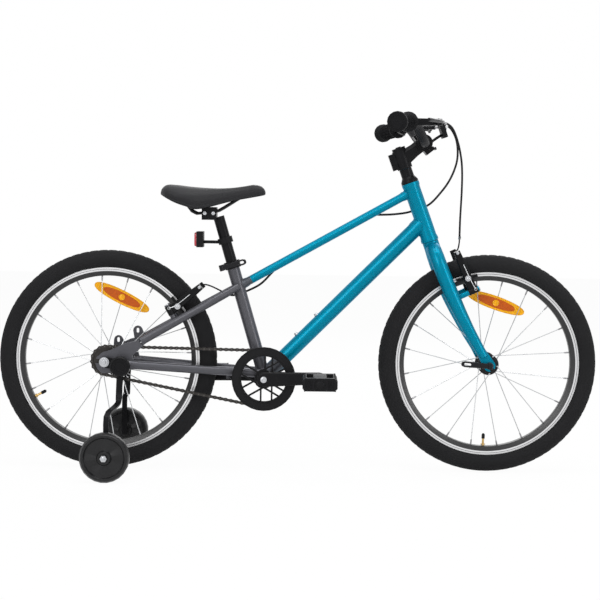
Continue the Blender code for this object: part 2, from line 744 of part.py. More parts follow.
def stay_points(spread, end, height, count):
    """The centre line of a right-hand stay, from the seat tube or the shell to its dropout."""
    pairs = list(spread) + [(end, STAY_END_PLACE)]
    return smooth_path([world(ahead, height(ahead), right) for ahead, right in pairs], count)


def seat_stay_height(ahead):
    top = on_seat_tube(SEAT_STAY_AT_SEAT)
    return top.z + (ahead - top.x) * SEAT_STAY_RISE


def chain_stay_height(ahead):
    first, last = BRACKET_Z + CHAIN_STAY_RISE, AXLE_HEIGHT - CHAIN_STAY_END_DROP
    return first + (last - first) * (ahead - BRACKET_X) / (CHAIN_STAY_END - BRACKET_X)


def seat_stay_sweep(extra=0.0):
    points = stay_points(SEAT_STAY_SPREAD, SEAT_STAY_END, seat_stay_height, 12)
    radii = [
        between(((SEAT_STAY_END, SEAT_STAY_LOW_RADIUS), (SEAT_STAY_SPREAD[0][0], SEAT_STAY_TOP_RADIUS)), point.x)
        for point in points
    ]
    return shape(swept(points, [circle(radius + extra) for radius in radii]))


def chain_stay_sweep(extra=0.0):
    points = stay_points(CHAIN_STAY_SPREAD, CHAIN_STAY_END, chain_stay_height, 12)
    return shape(swept(points, circle(CHAIN_STAY_RADIUS + extra)))


def lobes(circles, low, high):
    """A plate in side view, stretched round circles that are placed from the rear axle."""
    return shape(plate(around(circles), low, high), side_view(REAR_AXLE))


def seat_stay():
    """A right-hand seat stay with its brake boss."""
    body = cut(seat_stay_sweep(), seat_tube_solid(GAP))
    return join(body, brake_boss(rear_brake_frame(), 1, REAR_BOSS_LENGTH))


def chain_stay():
    """A right-hand chain stay with its dropout, whose slot is open at the back."""
    body = cut(chain_stay_sweep(), shell_solid(GAP), seat_tube_solid(GAP))
    inner, outer = REAR_DROPOUT_INNER, REAR_DROPOUT_OUTER
    body = join(body, shape(plate(DROPOUT_OUTLINE, inner, outer), side_view()))
    width = AXLE_RADIUS + GAP
    slot = around([(0, 0, width), (-FLANGE_RADIUS * 2, 0, width)])
    body = cut(body, shape(plate(slot, 0, 2 * outer), side_view(REAR_AXLE)))
    return cut(body, seat_stay_sweep(GAP))


def disc_eyes():
    """The two eyes for a disc brake, on the right-hand side before they are mirrored."""
    inner, outer = REAR_DROPOUT_INNER + 2 * GAP, REAR_DROPOUT_OUTER - 2 * GAP
    made = []
    for eye, foot in zip(DISC_EYES, DISC_EYE_FEET):
        x, y, _ = eye
        tab = lobes((eye, foot), inner, outer)
        hole = ((x, y - DISC_EYE_SLOT, DISC_EYE_HOLE), (x, y + DISC_EYE_SLOT, DISC_EYE_HOLE))
        made.append(cut(tab, lobes(hole, 0, 2 * outer)))
    return made


def stand_bridge():
    """The plate between the chain stays with a stub for a stand, before it meets the stays."""
    height = chain_stay_height(BRIDGE_X)
    reach = between(CHAIN_STAY_SPREAD, BRIDGE_X)
    low = Vector((BRIDGE_X - BRIDGE_LENGTH / 2, -reach, height - BRIDGE_THICKNESS / 2))
    high = Vector((BRIDGE_X + BRIDGE_LENGTH / 2, reach, height + BRIDGE_THICKNESS / 2))
    body = shape(box(low, high))
    stub_top = world(BRIDGE_X, height)
    stub_end = world(BRIDGE_X, height - BRIDGE_THICKNESS / 2 - STAND_STUB_LENGTH)
    body = join(body, shape(rod(stub_top, stub_end, STAND_STUB_RADIUS, 16)))
    return cut(body, chain_stay_sweep(GAP))


# The headset, the fork and what steers

def bearing(low):
    """A headset bearing, pressed into one end of the head tube."""
    outer = HEAD_TUBE_RADIUS - HEAD_TUBE_WALL - GAP
    return shape(pipe(outer, STEERER_RADIUS + GAP, low, low + BEARING_HEIGHT, 20), STEERING)


def headset_spacers():
    """The headset's top cover and the spacers above it."""
    bore = STEERER_RADIUS + GAP
    low, middle = HEADSET_LOW, HEADSET_LOW + HEADSET_COVER_HEIGHT
    outline = [
        (bore, low), (HEADSET_COVER_RADIUS, low), (HEADSET_COVER_RADIUS, low + HEADSET_COVER_HEIGHT / 3),
        (SPACER_RADIUS + GAP, middle), (SPACER_RADIUS, middle + GAP), (SPACER_RADIUS, STEM_LOW - GAP),
        (bore, STEM_LOW - GAP),
    ]
    return shape(turned(outline, 20), STEERING)


def leg_rake(along):
    """How far a fork leg's centre line lies ahead of the steering axis."""
    if along > LEG_RAKE_START:
        return 0.0
    return FORK_OFFSET * (1 - along / LEG_RAKE_START) ** 2


def leg_points():
    """The centre line of the right-hand fork leg, from its dropout to the crown."""
    low_spread = FORK_DROPOUT_INNER + DROPOUT_THICKNESS * 0.6
    route = [(low_spread, LEG_LOW_END), (low_spread - 0.001, 0.080), (LEG_TOP_SPREAD + 0.003, 0.140)]
    route += [(LEG_TOP_SPREAD + 0.001, 0.195), (LEG_TOP_SPREAD, CROWN_TOP - 0.070)]
    route += [(LEG_TOP_SPREAD - 0.003, CROWN_TOP - 0.042), (LEG_TOP_SPREAD - 0.013, CROWN_TOP - 0.025)]
    route += [(STEERER_RADIUS, CROWN_TOP - LEG_TOP_RADIUS - 0.001)]
    return smooth_path([on_steering(leg_rake(along), along, -right) for right, along in route], 16)


def fork_leg():
    """A right-hand fork leg with its dropout and brake boss."""
    points = leg_points()
    radii = []
    for point in points:
        along = (STEERING.inverted() @ point).z
        radii.append(between(((LEG_LOW_END, LEG_LOW_RADIUS), (0.175, LEG_TOP_RADIUS)), along))
    body = shape(swept(points, [circle(radius) for radius in radii]))
    end = side_view(FRONT_AXLE).inverted() @ points[1]
    outline = around([(0, 0, FORK_DROPOUT_RADIUS), (end.x, end.y, LEG_LOW_RADIUS)])
    body = join(body, shape(plate(outline, FORK_DROPOUT_INNER, FORK_DROPOUT_OUTER), side_view(FRONT_AXLE)))
    width = AXLE_RADIUS + GAP
    away = Vector((-end.x, -end.y)).normalized() * FLANGE_RADIUS
    slot = plate(around([(0, 0, width), (away.x, away.y, width)]), 0, 2 * FORK_DROPOUT_OUTER)
    body = cut(body, shape(slot, side_view(FRONT_AXLE)))
    return join(body, brake_boss(front_brake_frame(), -1, FRONT_BOSS_LENGTH))


def fork():
    """The fork: steerer, crown and two raked legs, welded together."""
    body = shape(cylinder(STEERER_RADIUS, CROWN_TOP - CROWN_HEIGHT / 2, STEM_TOP - GAP, 20), STEERING)
    crown = cylinder(CROWN_RADIUS, CROWN_TOP - CROWN_HEIGHT, CROWN_TOP, 20)
    return join(body, shape(crown, STEERING), fork_leg(), mirrored(fork_leg()))


def stem_frame():
    """A frame on the bar's centre with X along the stem, Y to the left and Z up across it."""
    along = BAR_CENTRE - on_steering(0, STEM_LOW + STEM_CLAMP_HEIGHT / 2)
    return frame_at(BAR_CENTRE, along.cross(LEFT), along)


def bar_bore():
    """A cutter for the bar's way through its clamp."""
    bore = cylinder(BAR_CENTRE_RADIUS + GAP, -BAR_CLAMP_WIDTH, BAR_CLAMP_WIDTH, 20)
    return shape(bore, frame_at(BAR_CENTRE, LEFT, FORWARD))


def bar_clamp():
    """The stem's clamp round the bar, still solid and not yet split into its two halves."""
    half = BAR_CLAMP_WIDTH / 2
    body = shape(cylinder(BAR_CLAMP_RADIUS, -half, half, 20), frame_at(BAR_CENTRE, LEFT, FORWARD))
    wide, tall = half - 2 * GAP, FACEPLATE_HALF_HEIGHT
    ears = box((-0.012, -wide, -tall), (0.007, wide, tall))
    return join(body, shape(ears, stem_frame()))


def half_space(sign):
    """A block that covers everything on one side of the split between the stem and its faceplate."""
    reach = STEM_REACH * 2
    low, high = sorted((-sign * FACEPLATE_GAP / 2, sign * reach))
    return shape(box((low, -reach, -reach), (high, reach, reach)), stem_frame())


def stem():
    """The stem, with its cap, its clamp on the steerer and the back half of its clamp on the bar."""
    body = shape(cylinder(STEM_CLAMP_RADIUS, STEM_LOW, STEM_TOP, 20), STEERING)
    cap = cylinder(STEM_CLAMP_RADIUS - 0.002, STEM_TOP - 0.001, STEM_TOP + STEM_CAP_HEIGHT, 20)
    middle = STEM_LOW + STEM_CLAMP_HEIGHT / 2
    start = on_steering(0, middle)
    thick = slab(STEM_CLAMP_HEIGHT - 0.006, STEM_BODY_WIDTH, 0.008)
    thin = slab(STEM_BODY_HEIGHT, STEM_BODY_WIDTH, 0.008)
    neck = swept([start, start.lerp(BAR_CENTRE, 0.55), BAR_CENTRE], [thick, thin, thin])
    reach = STEM_CLAMP_RADIUS + STEM_EAR_LENGTH
    ear = box((-reach, -0.0105, STEM_LOW + 0.003), (-STEERER_RADIUS, 0.0105, STEM_TOP - 0.003))
    body = join(body, shape(cap, STEERING), shape(neck), shape(ear, STEERING))
    body = join(body, bar_clamp())
    for along in (middle - 0.011, middle + 0.011):
        ends = [on_steering(STEM_BOLT_RADIUS - reach, along, side) for side in (-0.0145, 0.0145)]
        body = join(body, shape(rod(*ends, STEM_BOLT_RADIUS)))
    bore = cylinder(STEERER_RADIUS + GAP, STEM_LOW - STEM_CLAMP_HEIGHT, STEM_TOP + 2 * GAP, 20)
    slit = box((-2 * reach, -0.001, STEM_LOW - 0.01), (-STEERER_RADIUS - 0.0035, 0.001, STEM_TOP - 0.006))
    return cut(body, shape(bore, STEERING), bar_bore(), half_space(1), shape(slit, STEERING))


def stem_faceplate():
    """The front half of the clamp on the bar, with its four bolts."""
    body = cut(bar_clamp(), bar_bore(), half_space(-1))
    for side in (-0.0135, 0.0135):
        for up in (-0.0222, 0.0222):
            ends = [stem_frame() @ Vector((ahead, side, up)) for ahead in (0.004, 0.0115)]
            body = join(body, shape(rod(*ends, STEM_BOLT_RADIUS)))
    return body


def bar_point(out):
    """The centre line of the handlebar's straight right-hand end, this far out."""
    return BAR_END + (BAR_HALF_WIDTH - out) * Vector((math.tan(BAR_SWEEP), 1, BAR_END_DROP))


def handlebar():
    """The bar, from its left end to its right end."""
    straight = [BAR_STRAIGHT_START, BAR_STRAIGHT_START + 0.007, GRIP_START - 0.020, GRIP_START + 0.020]
    straight += [(GRIP_START + BAR_HALF_WIDTH) / 2, BAR_HALF_WIDTH]
    right = [BAR_CENTRE + Vector((ahead, -out, up)) for ahead, up, out in BAR_BENDS]
    right += [bar_point(out) for out in straight]
    left = [Vector((point.x, -point.y, point.z)) for point in reversed(right)]
    points = smooth_path(left + [BAR_CENTRE] + right, 39)
    start, end = BAR_TAPER
    radii = [between(((start, BAR_CENTRE_RADIUS), (end, BAR_RADIUS)), abs(point.y)) for point in points]
    return shape(swept(points, [circle(radius, 10) for radius in radii], UP))


def bar_frame(out):
    """A frame on the right-hand end of the bar, with Z along it and outwards."""
    return frame_at(bar_point(out), bar_point(BAR_HALF_WIDTH) - bar_point(GRIP_START), FORWARD)


def grip():
    """A right-hand grip, closed at its outer end."""
    length = (bar_point(BAR_HALF_WIDTH) - bar_point(GRIP_START)).length + GAP
    bore, end = BAR_RADIUS + GAP, length + GRIP_END_WALL
    outline = [
        (bore, 0), (GRIP_FLANGE_RADIUS, 0), (GRIP_FLANGE_RADIUS, GRIP_FLANGE_WIDTH),
        (GRIP_BODY_RADIUS, 2 * GRIP_FLANGE_WIDTH), (GRIP_BODY_RADIUS, length - 0.014),
        (GRIP_END_RADIUS, length - 0.008), (GRIP_END_RADIUS, end - 0.0015), (GRIP_END_RADIUS - 0.0015, end),
        (0, end), (0, length), (bore, length),
    ]
    return shape(turned(outline), bar_frame(GRIP_START))


def lever_frame():
    """A frame on the bar at the lever's clamp, with X forward, Y inwards and Z up."""
    return frame_at(bar_point(PERCH_PLACE), UP, FORWARD)


def barrel_line():
    """The two ends of the cable barrel."""
    return [lever_frame() @ Vector((*point, 0)) for point in (BARREL_FROM, BARREL_TO)]


def brake_perch():
    """A right-hand lever clamp with its ears, hinge pin and cable barrel."""
    body = shape(plate(around(PERCH_BODY), -PERCH_HEIGHT / 2, PERCH_HEIGHT / 2), lever_frame())
    half = PERCH_RING_WIDTH / 2
    ring = cylinder(PERCH_RING_RADIUS, -half, half)
    body = join(body, shape(ring, bar_frame(PERCH_PLACE)), shape(rod(*barrel_line(), BARREL_RADIUS)))
    bore = cylinder(BAR_RADIUS + GAP, -2 * PERCH_RING_RADIUS, 2 * PERCH_RING_RADIUS)
    opening = LEVER_HEIGHT / 2 + TURNING_GAP
    x, y, radius = PERCH_BODY[-1]
    slot = box((PERCH_SLOT_START, y - 0.012, -opening), (x + 2 * radius, y + 0.0080, opening))
    body = cut(body, shape(bore, bar_frame(PERCH_PLACE)), shape(slot, lever_frame()))
    pin = cylinder(LEVER_PIN_RADIUS, -PERCH_HEIGHT / 2 - 0.001, PERCH_HEIGHT / 2 + 0.001, 8)
    return join(body, shape(pin, lever_frame() @ Matrix.Translation((x, y, 0))))


def brake_lever():
    """A right-hand brake lever."""
    x, y, _ = PERCH_BODY[-1]
    points = smooth_path([(x, y, 0)] + [(ahead, inward, 0) for ahead, inward in LEVER_BENDS], 9)
    thick = [LEVER_THICKNESS] * (len(points) - 2) + [LEVER_THICKNESS + 0.002, LEVER_THICKNESS]
    height = LEVER_HEIGHT - 2 * GAP
    body = shape(swept(points, [slab(size, height, 0.0016) for size in thick], UP))
    eye = cylinder(LEVER_EYE_RADIUS, -LEVER_HEIGHT / 2, LEVER_HEIGHT / 2, 16)
    hole = cylinder(LEVER_PIN_RADIUS + TURNING_GAP, -LEVER_HEIGHT, LEVER_HEIGHT, 12)
    place = Matrix.Translation((x, y, 0))
    body = cut(join(body, shape(eye, place)), shape(hole, place))
    body.data.transform(lever_frame())
    return body


def front_reflector():
    """The white front reflector on its bracket, clamped to the bar beside the stem."""
    x, z = FRONT_PLATE_CENTRE
    front = frame_at(world(x, z), UP, FORWARD) @ Matrix.Rotation(-FRONT_PLATE_TILT, 4, "Y")
    half = (FRONT_PLATE_DEPTH / 2, FRONT_PLATE_WIDTH / 2, FRONT_PLATE_HEIGHT / 2)
    body = shape(box([-size for size in half], half), front)
    place = BAR_CENTRE + FRONT_BRACKET_PLACE * RIGHT
    on_bar = frame_at(place, LEFT, FORWARD)
    half_width = FRONT_BRACKET_WIDTH / 2
    bore = BAR_CENTRE_RADIUS + 2 * GAP
    route = [place + Vector((BAR_CENTRE_RADIUS, 0, 0)), place + Vector((0.028, 0, 0.011))]
    route += [world(x - 0.006, z - 0.013, 0.012), world(x, z - 0.012)]
    arm = swept(route, slab(0.007, 0.006, 0.001), UP)
    ring = cylinder(bore + FRONT_BRACKET_WALL, -half_width, half_width, 12)
    body = join(shape(ring, on_bar), shape(arm), body)
    return cut(body, shape(cylinder(bore, -0.02, 0.02, 12), on_bar))


# Brakes

def brake_frame(origin, out, up):
    """A frame with X out of the leg along the brake's pivots and Z up along the leg."""
    return frame_at(origin, up, out)


def front_brake_frame():
    origin = on_steering(leg_rake(FRONT_PIVOT_AT), FRONT_PIVOT_AT)
    step = FRONT_PIVOT_AT + 0.001
    up = on_steering(leg_rake(step), step) - origin
    return brake_frame(origin, LEFT.cross(up), up)


def rear_brake_frame():
    origin = world(REAR_PIVOT_X, seat_stay_height(REAR_PIVOT_X))
    return brake_frame(origin, (-SEAT_STAY_RISE, 0, 1), (1, 0, SEAT_STAY_RISE))


def brake_boss(frame, side, length):
    """A brake boss with its pivot pin and bolt head, on one side of the frame's Y."""
    pivot = frame @ Matrix.Translation((0, side * PIVOT_SPREAD, 0)) @ Matrix.Rotation(math.pi / 2, 4, "Y")
    end = length + 2 * GAP + BRAKE_SLEEVE_LENGTH
    outline = [
        (0, 0), (BOSS_RADIUS, 0), (BOSS_RADIUS, length), (PIVOT_PIN_RADIUS, length), (PIVOT_PIN_RADIUS, end),
        (PIVOT_BOLT_RADIUS, end), (PIVOT_BOLT_RADIUS, end + PIVOT_BOLT_HEIGHT), (0, end + PIVOT_BOLT_HEIGHT),
    ]
    return shape(turned(outline, 10), pivot)


def brake_arm(frame, axle, side, length, height, lean_out):
    """A brake arm with its sleeve, pad and pad stud, on one side of the frame's Y."""
    low, high = length + GAP, length + GAP + BRAKE_SLEEVE_LENGTH
    out = (low + high) / 2
    turn = Matrix.Translation((0, side * PIVOT_SPREAD, 0)) @ Matrix.Rotation(math.pi / 2, 4, "Y")
    body = shape(pipe(BRAKE_SLEEVE_RADIUS, PIVOT_PIN_RADIUS + TURNING_GAP, low, high, 12), turn)
    middle = (PIVOT_SPREAD + BRAKE_ARM_TOP_SPREAD) / 2
    spread = (PIVOT_SPREAD, PIVOT_SPREAD + 0.001, middle, BRAKE_ARM_TOP_SPREAD)
    rises = (PIVOT_PIN_RADIUS + 0.002, height * 0.3, height * 0.65, height)
    leans = (0, lean_out * 0.25, lean_out * 0.6, lean_out)
    deep = BRAKE_ARM_LOW_DEPTH
    depths = (BRAKE_SLEEVE_LENGTH - 2 * GAP, deep, deep - 0.002, BRAKE_ARM_TOP_DEPTH)
    points = [(out + lean, side * aside, rise) for lean, aside, rise in zip(leans, spread, rises)]
    sections = [slab(BRAKE_ARM_THICKNESS, deep, 0.002) for deep in depths]
    body = join(body, shape(swept(points, sections, FORWARD)))
    centre = frame.inverted() @ axle
    rise = math.sqrt(PAD_RADIUS**2 - (out - centre.x) ** 2)
    spot = Vector((out, 0, centre.z + rise))
    pad_frame = Matrix.Translation(spot) @ Matrix.Rotation(math.atan2(out - centre.x, rise), 4, "Y")
    face = RIM_WIDTH / 2 + PAD_GAP
    low, high = sorted((side * face, side * (face + PAD_THICKNESS)))
    pad = box((-PAD_LENGTH / 2, low, -PAD_HEIGHT / 2), (PAD_LENGTH / 2, high, PAD_HEIGHT / 2))
    ends = [spot + Vector((0, side * (face + PAD_THICKNESS / 2), 0))]
    ends.append(spot + Vector((0, side * (PIVOT_SPREAD + BRAKE_ARM_THICKNESS / 2 + 0.003), 0)))
    body = join(body, shape(rod(*ends, PAD_STUD_RADIUS)), shape(pad, pad_frame))
    body.data.transform(frame)
    return body


def noodle(end, route):
    """A bent steel guide that leads a cable into its brake arm."""
    start = world(*end)
    first = world(*route[0])
    start += (first - start).normalized() * NOODLE_GAP
    points = [start] + [world(*point) for point in route]
    return shape(swept(smooth_path(points, 8), circle(NOODLE_RADIUS, 6), UP))


def housing_points(route, end, side):
    """Points along a housing, from the end of its lever's barrel to the start of its noodle."""
    first, last = barrel_line()
    if side > 0:
        first.y, last.y = -first.y, -last.y
    onward = (last - first).normalized()
    start = [last + onward * NOODLE_GAP, last + onward * 0.010]
    return smooth_path(start + [world(*point) for point in route] + [world(*end)], HOUSING_POINTS)


def front_housing_points():
    return housing_points(FRONT_HOUSING_ROUTE, FRONT_HOUSING_END, -1)


def rear_housing_points():
    return housing_points(REAR_HOUSING_ROUTE, REAR_HOUSING_END, 1)


def housing(points):
    """A cable housing along its points."""
    curve = bpy.data.curves.new("housing", "CURVE")
    curve.dimensions = "3D"
    curve.bevel_depth = HOUSING_RADIUS
    curve.bevel_resolution = 1
    curve.use_fill_caps = True
    spline = curve.splines.new("POLY")
    spline.points.add(len(points) - 1)
    for target, point in zip(spline.points, points):
        target.co = (*point, 1)
    made = bpy.data.objects.new("housing", curve)
    bpy.context.scene.collection.objects.link(made)
    return made


# Wheels

def tyre():
    """A tyre with a flat tread, in its wheel's own frame."""
    bead = TYRE_RADIUS - TYRE_HEIGHT
    half = [(bead + TYRE_HEIGHT * rise, TYRE_WIDTH / 2 * width) for rise, width in TYRE_SECTION]
    outline = [(radius, -width) for radius, width in half]
    outline += [(radius, width) for radius, width in reversed(half)]
    return shape(turned(outline, RIM_STEPS, math.pi / RIM_STEPS))


def rim():
    """A rim with flat brake tracks, in its wheel's own frame."""
    track = RIM_RADIUS - RIM_TRACK_HEIGHT
    half = [(RIM_RADIUS, RIM_WIDTH / 2), (track, RIM_WIDTH / 2), (RIM_INNER_RADIUS, RIM_INNER_WIDTH / 2)]
    outline = [(radius, -width) for radius, width in half]
    outline += [(radius, width) for radius, width in reversed(half)]
    return shape(turned(outline, RIM_STEPS, math.pi / RIM_STEPS))


def spoke_ends(number, turn):
    """Where a spoke leaves its flange and where it meets the rim, in its wheel's own frame."""
    side = -1 if number % 2 == 0 else 1
    lead = 1 if number % 4 < 2 else -1
    rim_angle = turn + math.tau * number / SPOKE_COUNT
    hub_angle = rim_angle + lead * SPOKE_LACING_TURN
    rim_radius = RIM_INNER_RADIUS * math.cos(math.pi / RIM_STEPS) - GAP
    hub_place = side * (FLANGE_PLACE + lead * FLANGE_THICKNESS / 3)
    start = (SPOKE_HOLE_RADIUS * math.cos(hub_angle), SPOKE_HOLE_RADIUS * math.sin(hub_angle), hub_place)
    end = (rim_radius * math.cos(rim_angle), rim_radius * math.sin(rim_angle), side * SPOKE_RIM_PLACE)
    return Vector(start), Vector(end)


def hub(turn, left_end, right_end):
    """A hub with its spokes, in its wheel's own frame. Each end is this far from its middle."""
    edge, inside = FLANGE_PLACE + FLANGE_THICKNESS / 2, FLANGE_PLACE - FLANGE_THICKNESS / 2
    flange = [
        (HUB_SHELL_RADIUS, inside - 0.004), (FLANGE_RADIUS, inside), (FLANGE_RADIUS, edge),
        (HUB_END_RADIUS + 0.003, edge + 0.001), (HUB_END_RADIUS, edge + 0.004),
    ]
    left = flange + [(HUB_END_RADIUS, left_end)]
    right = flange + [(HUB_END_RADIUS, right_end)]
    bore = AXLE_RADIUS + TURNING_GAP
    outline = [(bore, -left_end)] + [(radius, -place) for radius, place in reversed(left)]
    outline += right + [(bore, right_end)]
    spokes = [shape(rod(*spoke_ends(number, turn), SPOKE_RADIUS, 4)) for number in range(SPOKE_COUNT)]
    return join(shape(turned(outline, 12)), *spokes)


def spoke_reflector(turn, place, tilt):
    """A leaf-shaped reflector between the spokes, with a clip stud at each spoke that crosses it."""
    angles = [math.tau * step / 16 for step in range(16)]
    half_length, half_height = SPOKE_REFLECTOR_LENGTH / 2, SPOKE_REFLECTOR_HEIGHT / 2
    outline = [(half_length * math.cos(angle), half_height * math.sin(angle)) for angle in angles]
    half = SPOKE_REFLECTOR_THICKNESS / 2
    leaf = Matrix.Translation((*place, 0)) @ Matrix.Rotation(tilt, 4, "Z")
    body = shape(plate(outline, -half, half), leaf)
    for number in range(SPOKE_COUNT):
        start, end = (leaf.inverted() @ point for point in spoke_ends(number, turn))
        if start.y * end.y > 0:
            continue
        spot = start.lerp(end, start.y / (start.y - end.y))
        if abs(spot.x) > half_length - 4 * SPOKE_REFLECTOR_CLIP_RADIUS:
            continue
        slope = abs(end.z - start.z) / (end - start).length
        reach = abs(spot.z) - SPOKE_RADIUS - GAP - slope * SPOKE_REFLECTOR_CLIP_RADIUS
        stud = cylinder(SPOKE_REFLECTOR_CLIP_RADIUS, 0, math.copysign(reach, spot.z), 12)
        body = join(body, shape(stud, leaf @ Matrix.Translation((spot.x, 0, 0))))
    return body


def front_axle():
    """The front axle: rod, cones, a nut on the left and the lever's cam seat on the right."""
    inner, outer = FORK_DROPOUT_INNER - GAP, FORK_DROPOUT_OUTER + GAP
    nut = outer + AXLE_NUT_HEIGHT
    outline = [
        (0, -nut - 0.004), (AXLE_RADIUS, -nut - 0.004), (AXLE_RADIUS, -nut), (AXLE_NUT_RADIUS, -nut),
        (AXLE_NUT_RADIUS, -outer), (AXLE_RADIUS, -outer), (AXLE_RADIUS, -inner), (CONE_RADIUS, -inner),
        (CONE_RADIUS, CONE_LENGTH - inner), (AXLE_RADIUS, CONE_LENGTH - inner),
        (AXLE_RADIUS, inner - CONE_LENGTH), (CONE_RADIUS, inner - CONE_LENGTH), (CONE_RADIUS, inner),
        (AXLE_RADIUS, inner), (AXLE_RADIUS, outer), (CONE_RADIUS, outer), (CONE_RADIUS, outer + CAM_HEIGHT),
        (0, outer + CAM_HEIGHT),
    ]
    return shape(turned(outline, 10), side_view(FRONT_AXLE))


def rear_axle():
    """The rear axle: rod, cones, spacers up to the stabiliser brackets, and nuts."""
    inner, outer = REAR_DROPOUT_INNER - GAP, REAR_DROPOUT_OUTER + GAP
    cone = inner - CONE_LENGTH
    nut = BRACKET_PLACE + BRACKET_THICKNESS + GAP
    right = [
        (AXLE_RADIUS, cone), (CONE_RADIUS, cone), (CONE_RADIUS, inner), (AXLE_RADIUS, inner),
        (AXLE_RADIUS, outer), (CONE_RADIUS, outer), (CONE_RADIUS, BRACKET_PLACE - GAP),
        (AXLE_RADIUS, BRACKET_PLACE - GAP), (AXLE_RADIUS, nut), (AXLE_NUT_RADIUS, nut),
        (AXLE_NUT_RADIUS, nut + AXLE_NUT_HEIGHT), (AXLE_RADIUS, nut + AXLE_NUT_HEIGHT),
        (AXLE_RADIUS, nut + AXLE_NUT_HEIGHT + 0.004), (0, nut + AXLE_NUT_HEIGHT + 0.004),
    ]
    outline = [(radius, -place) for radius, place in reversed(right)] + right
    return shape(turned(outline, 10), side_view(REAR_AXLE))


# The drive

def toothed_ring(pitch_radius, teeth, inner, low, high):
    """A flat ring with teeth, round a hole."""
    bm = bmesh.new()
    root, tip = pitch_radius - TOOTH_UNDER_PITCH, pitch_radius + TOOTH_OVER_PITCH
    shares = ((0, tip), (0.5, root))
    edge = []
    for tooth in range(teeth):
        edge += [(math.tau * (tooth + share) / teeth, radius) for share, radius in shares]
    loops = []
    for height, is_inner in ((low, True), (low, False), (high, False), (high, True)):
        loop = []
        for angle, radius in edge:
            size = inner if is_inner else radius
            loop.append(bm.verts.new((size * math.cos(angle), size * math.sin(angle), height)))
        loops.append(loop)
    for first, second in zip(loops, loops[1:] + loops[:1]):
        for step in range(len(first)):
            after = (step + 1) % len(first)
            bm.faces.new((first[step], first[after], second[after], second[step]))
    return shape(bm)


def chain_points():
    """The chain's pitch line round its two toothed wheels, in side view from the bottom bracket."""
    back = Vector((REAR_AXLE.x - BRACKET.x, REAR_AXLE.z - BRACKET.z))
    line = math.atan2(-back.y, -back.x)
    lean = math.acos((SPROCKET_PITCH_RADIUS - RING_PITCH_RADIUS) / back.length)
    arcs = (
        (Vector((0, 0)), RING_PITCH_RADIUS, line - lean, line + lean, 14),
        (back, SPROCKET_PITCH_RADIUS, line + lean, line + math.tau - lean, 10),
    )
    points = []
    for centre, radius, start, end, steps in arcs:
        for step in range(steps + 1):
            angle = start + (end - start) * step / steps
            ahead, up = radius * math.cos(angle), radius * math.sin(angle)
            points.append((centre.x + ahead, centre.y + up, CHAIN_LINE))
    return points


def chain():
    """The drive chain as one band, grooved inside where the teeth run."""
    half, groove = CHAIN_WIDTH / 2, CHAIN_GROOVE_WIDTH / 2
    section = [
        (CHAIN_UNDER_PITCH, -half), (-CHAIN_OVER_PITCH, -half),
        (-CHAIN_OVER_PITCH, half), (CHAIN_UNDER_PITCH, half),
        (CHAIN_UNDER_PITCH, groove), (-CHAIN_GROOVE_OVER_PITCH, groove), (-CHAIN_GROOVE_OVER_PITCH, -groove),
        (CHAIN_UNDER_PITCH, -groove),
    ]
    return shape(swept(chain_points(), section, UP, closed=True), side_view(BRACKET))


def chainring():
    """The chainring with its thin arms and its guard ring."""
    low, high = CHAIN_LINE - TOOTH_PLATE_THICKNESS / 2, CHAIN_LINE + TOOTH_PLATE_THICKNESS / 2
    body = toothed_ring(RING_PITCH_RADIUS, RING_TEETH, TOOTH_PLATE_INNER_RADIUS, low, high)
    guard_low = CHAIN_LINE + CHAIN_WIDTH / 2 + GUARD_FROM_CHAIN
    guard_high = guard_low + GUARD_THICKNESS
    body = join(shape(cylinder(RING_BOSS_RADIUS, low, guard_high - GAP, 18)), body)
    half = RING_ARM_WIDTH / 2
    for number, (degrees, offset) in enumerate(RING_ARMS):
        angle = math.radians(degrees)
        along = Vector((math.cos(angle), math.sin(angle)))
        aside = Vector((math.sin(angle), -math.cos(angle)))
        end = math.sqrt(RING_ARM_REACH**2 - (abs(offset) + half) ** 2)
        start = number * 0.0002
        corners = ((start, -half), (end, -half), (end, half), (start, half))
        outline = [along * reach + aside * (offset + across) for reach, across in corners]
        inset = GAP + number * 0.00012
        body = join(body, shape(plate(outline, low + inset, guard_high - GAP - inset)))
    guard = pipe(GUARD_RADIUS, GUARD_INNER_RADIUS, guard_low, guard_high, 32)
    hole = cylinder(SPINDLE_END_RADIUS + GAP, 0, 2 * guard_high, 12)
    body = cut(join(body, shape(guard)), shape(hole))
    body.data.transform(side_view(BRACKET))
    return body


def bottom_bracket_cartridge():
    """The sealed bearing unit in the shell, with the lips of its two cups outside."""
    half, lip = SHELL_WIDTH / 2 + GAP, SHELL_WIDTH / 2 + GAP + CUP_LIP
    outer = SHELL_RADIUS - SHELL_WALL - GAP
    bore = SPINDLE_RADIUS + TURNING_GAP
    right = [(outer, half), (CUP_RADIUS, half), (CUP_RADIUS, lip), (bore, lip)]
    outline = [(radius, -place) for radius, place in reversed(right)] + right
    return shape(turned(outline), side_view(BRACKET))


def crank_spindle():
    """The spindle with its two end bolts."""
    right = [(SPINDLE_RADIUS, SPINDLE_SHOULDER), (SPINDLE_END_RADIUS, SPINDLE_SHOULDER)]
    right += [(SPINDLE_END_RADIUS, SPINDLE_HALF_LENGTH), (0, SPINDLE_HALF_LENGTH)]
    outline = [(radius, -place) for radius, place in reversed(right)] + right
    return shape(turned(outline, 12), side_view(BRACKET))


def crank_frame(side):
    """A frame whose X runs along a crank arm. The side is 1 on the drive side and -1 on the other."""
    return side_view(BRACKET, CRANK_RISE if side > 0 else CRANK_RISE + math.pi)


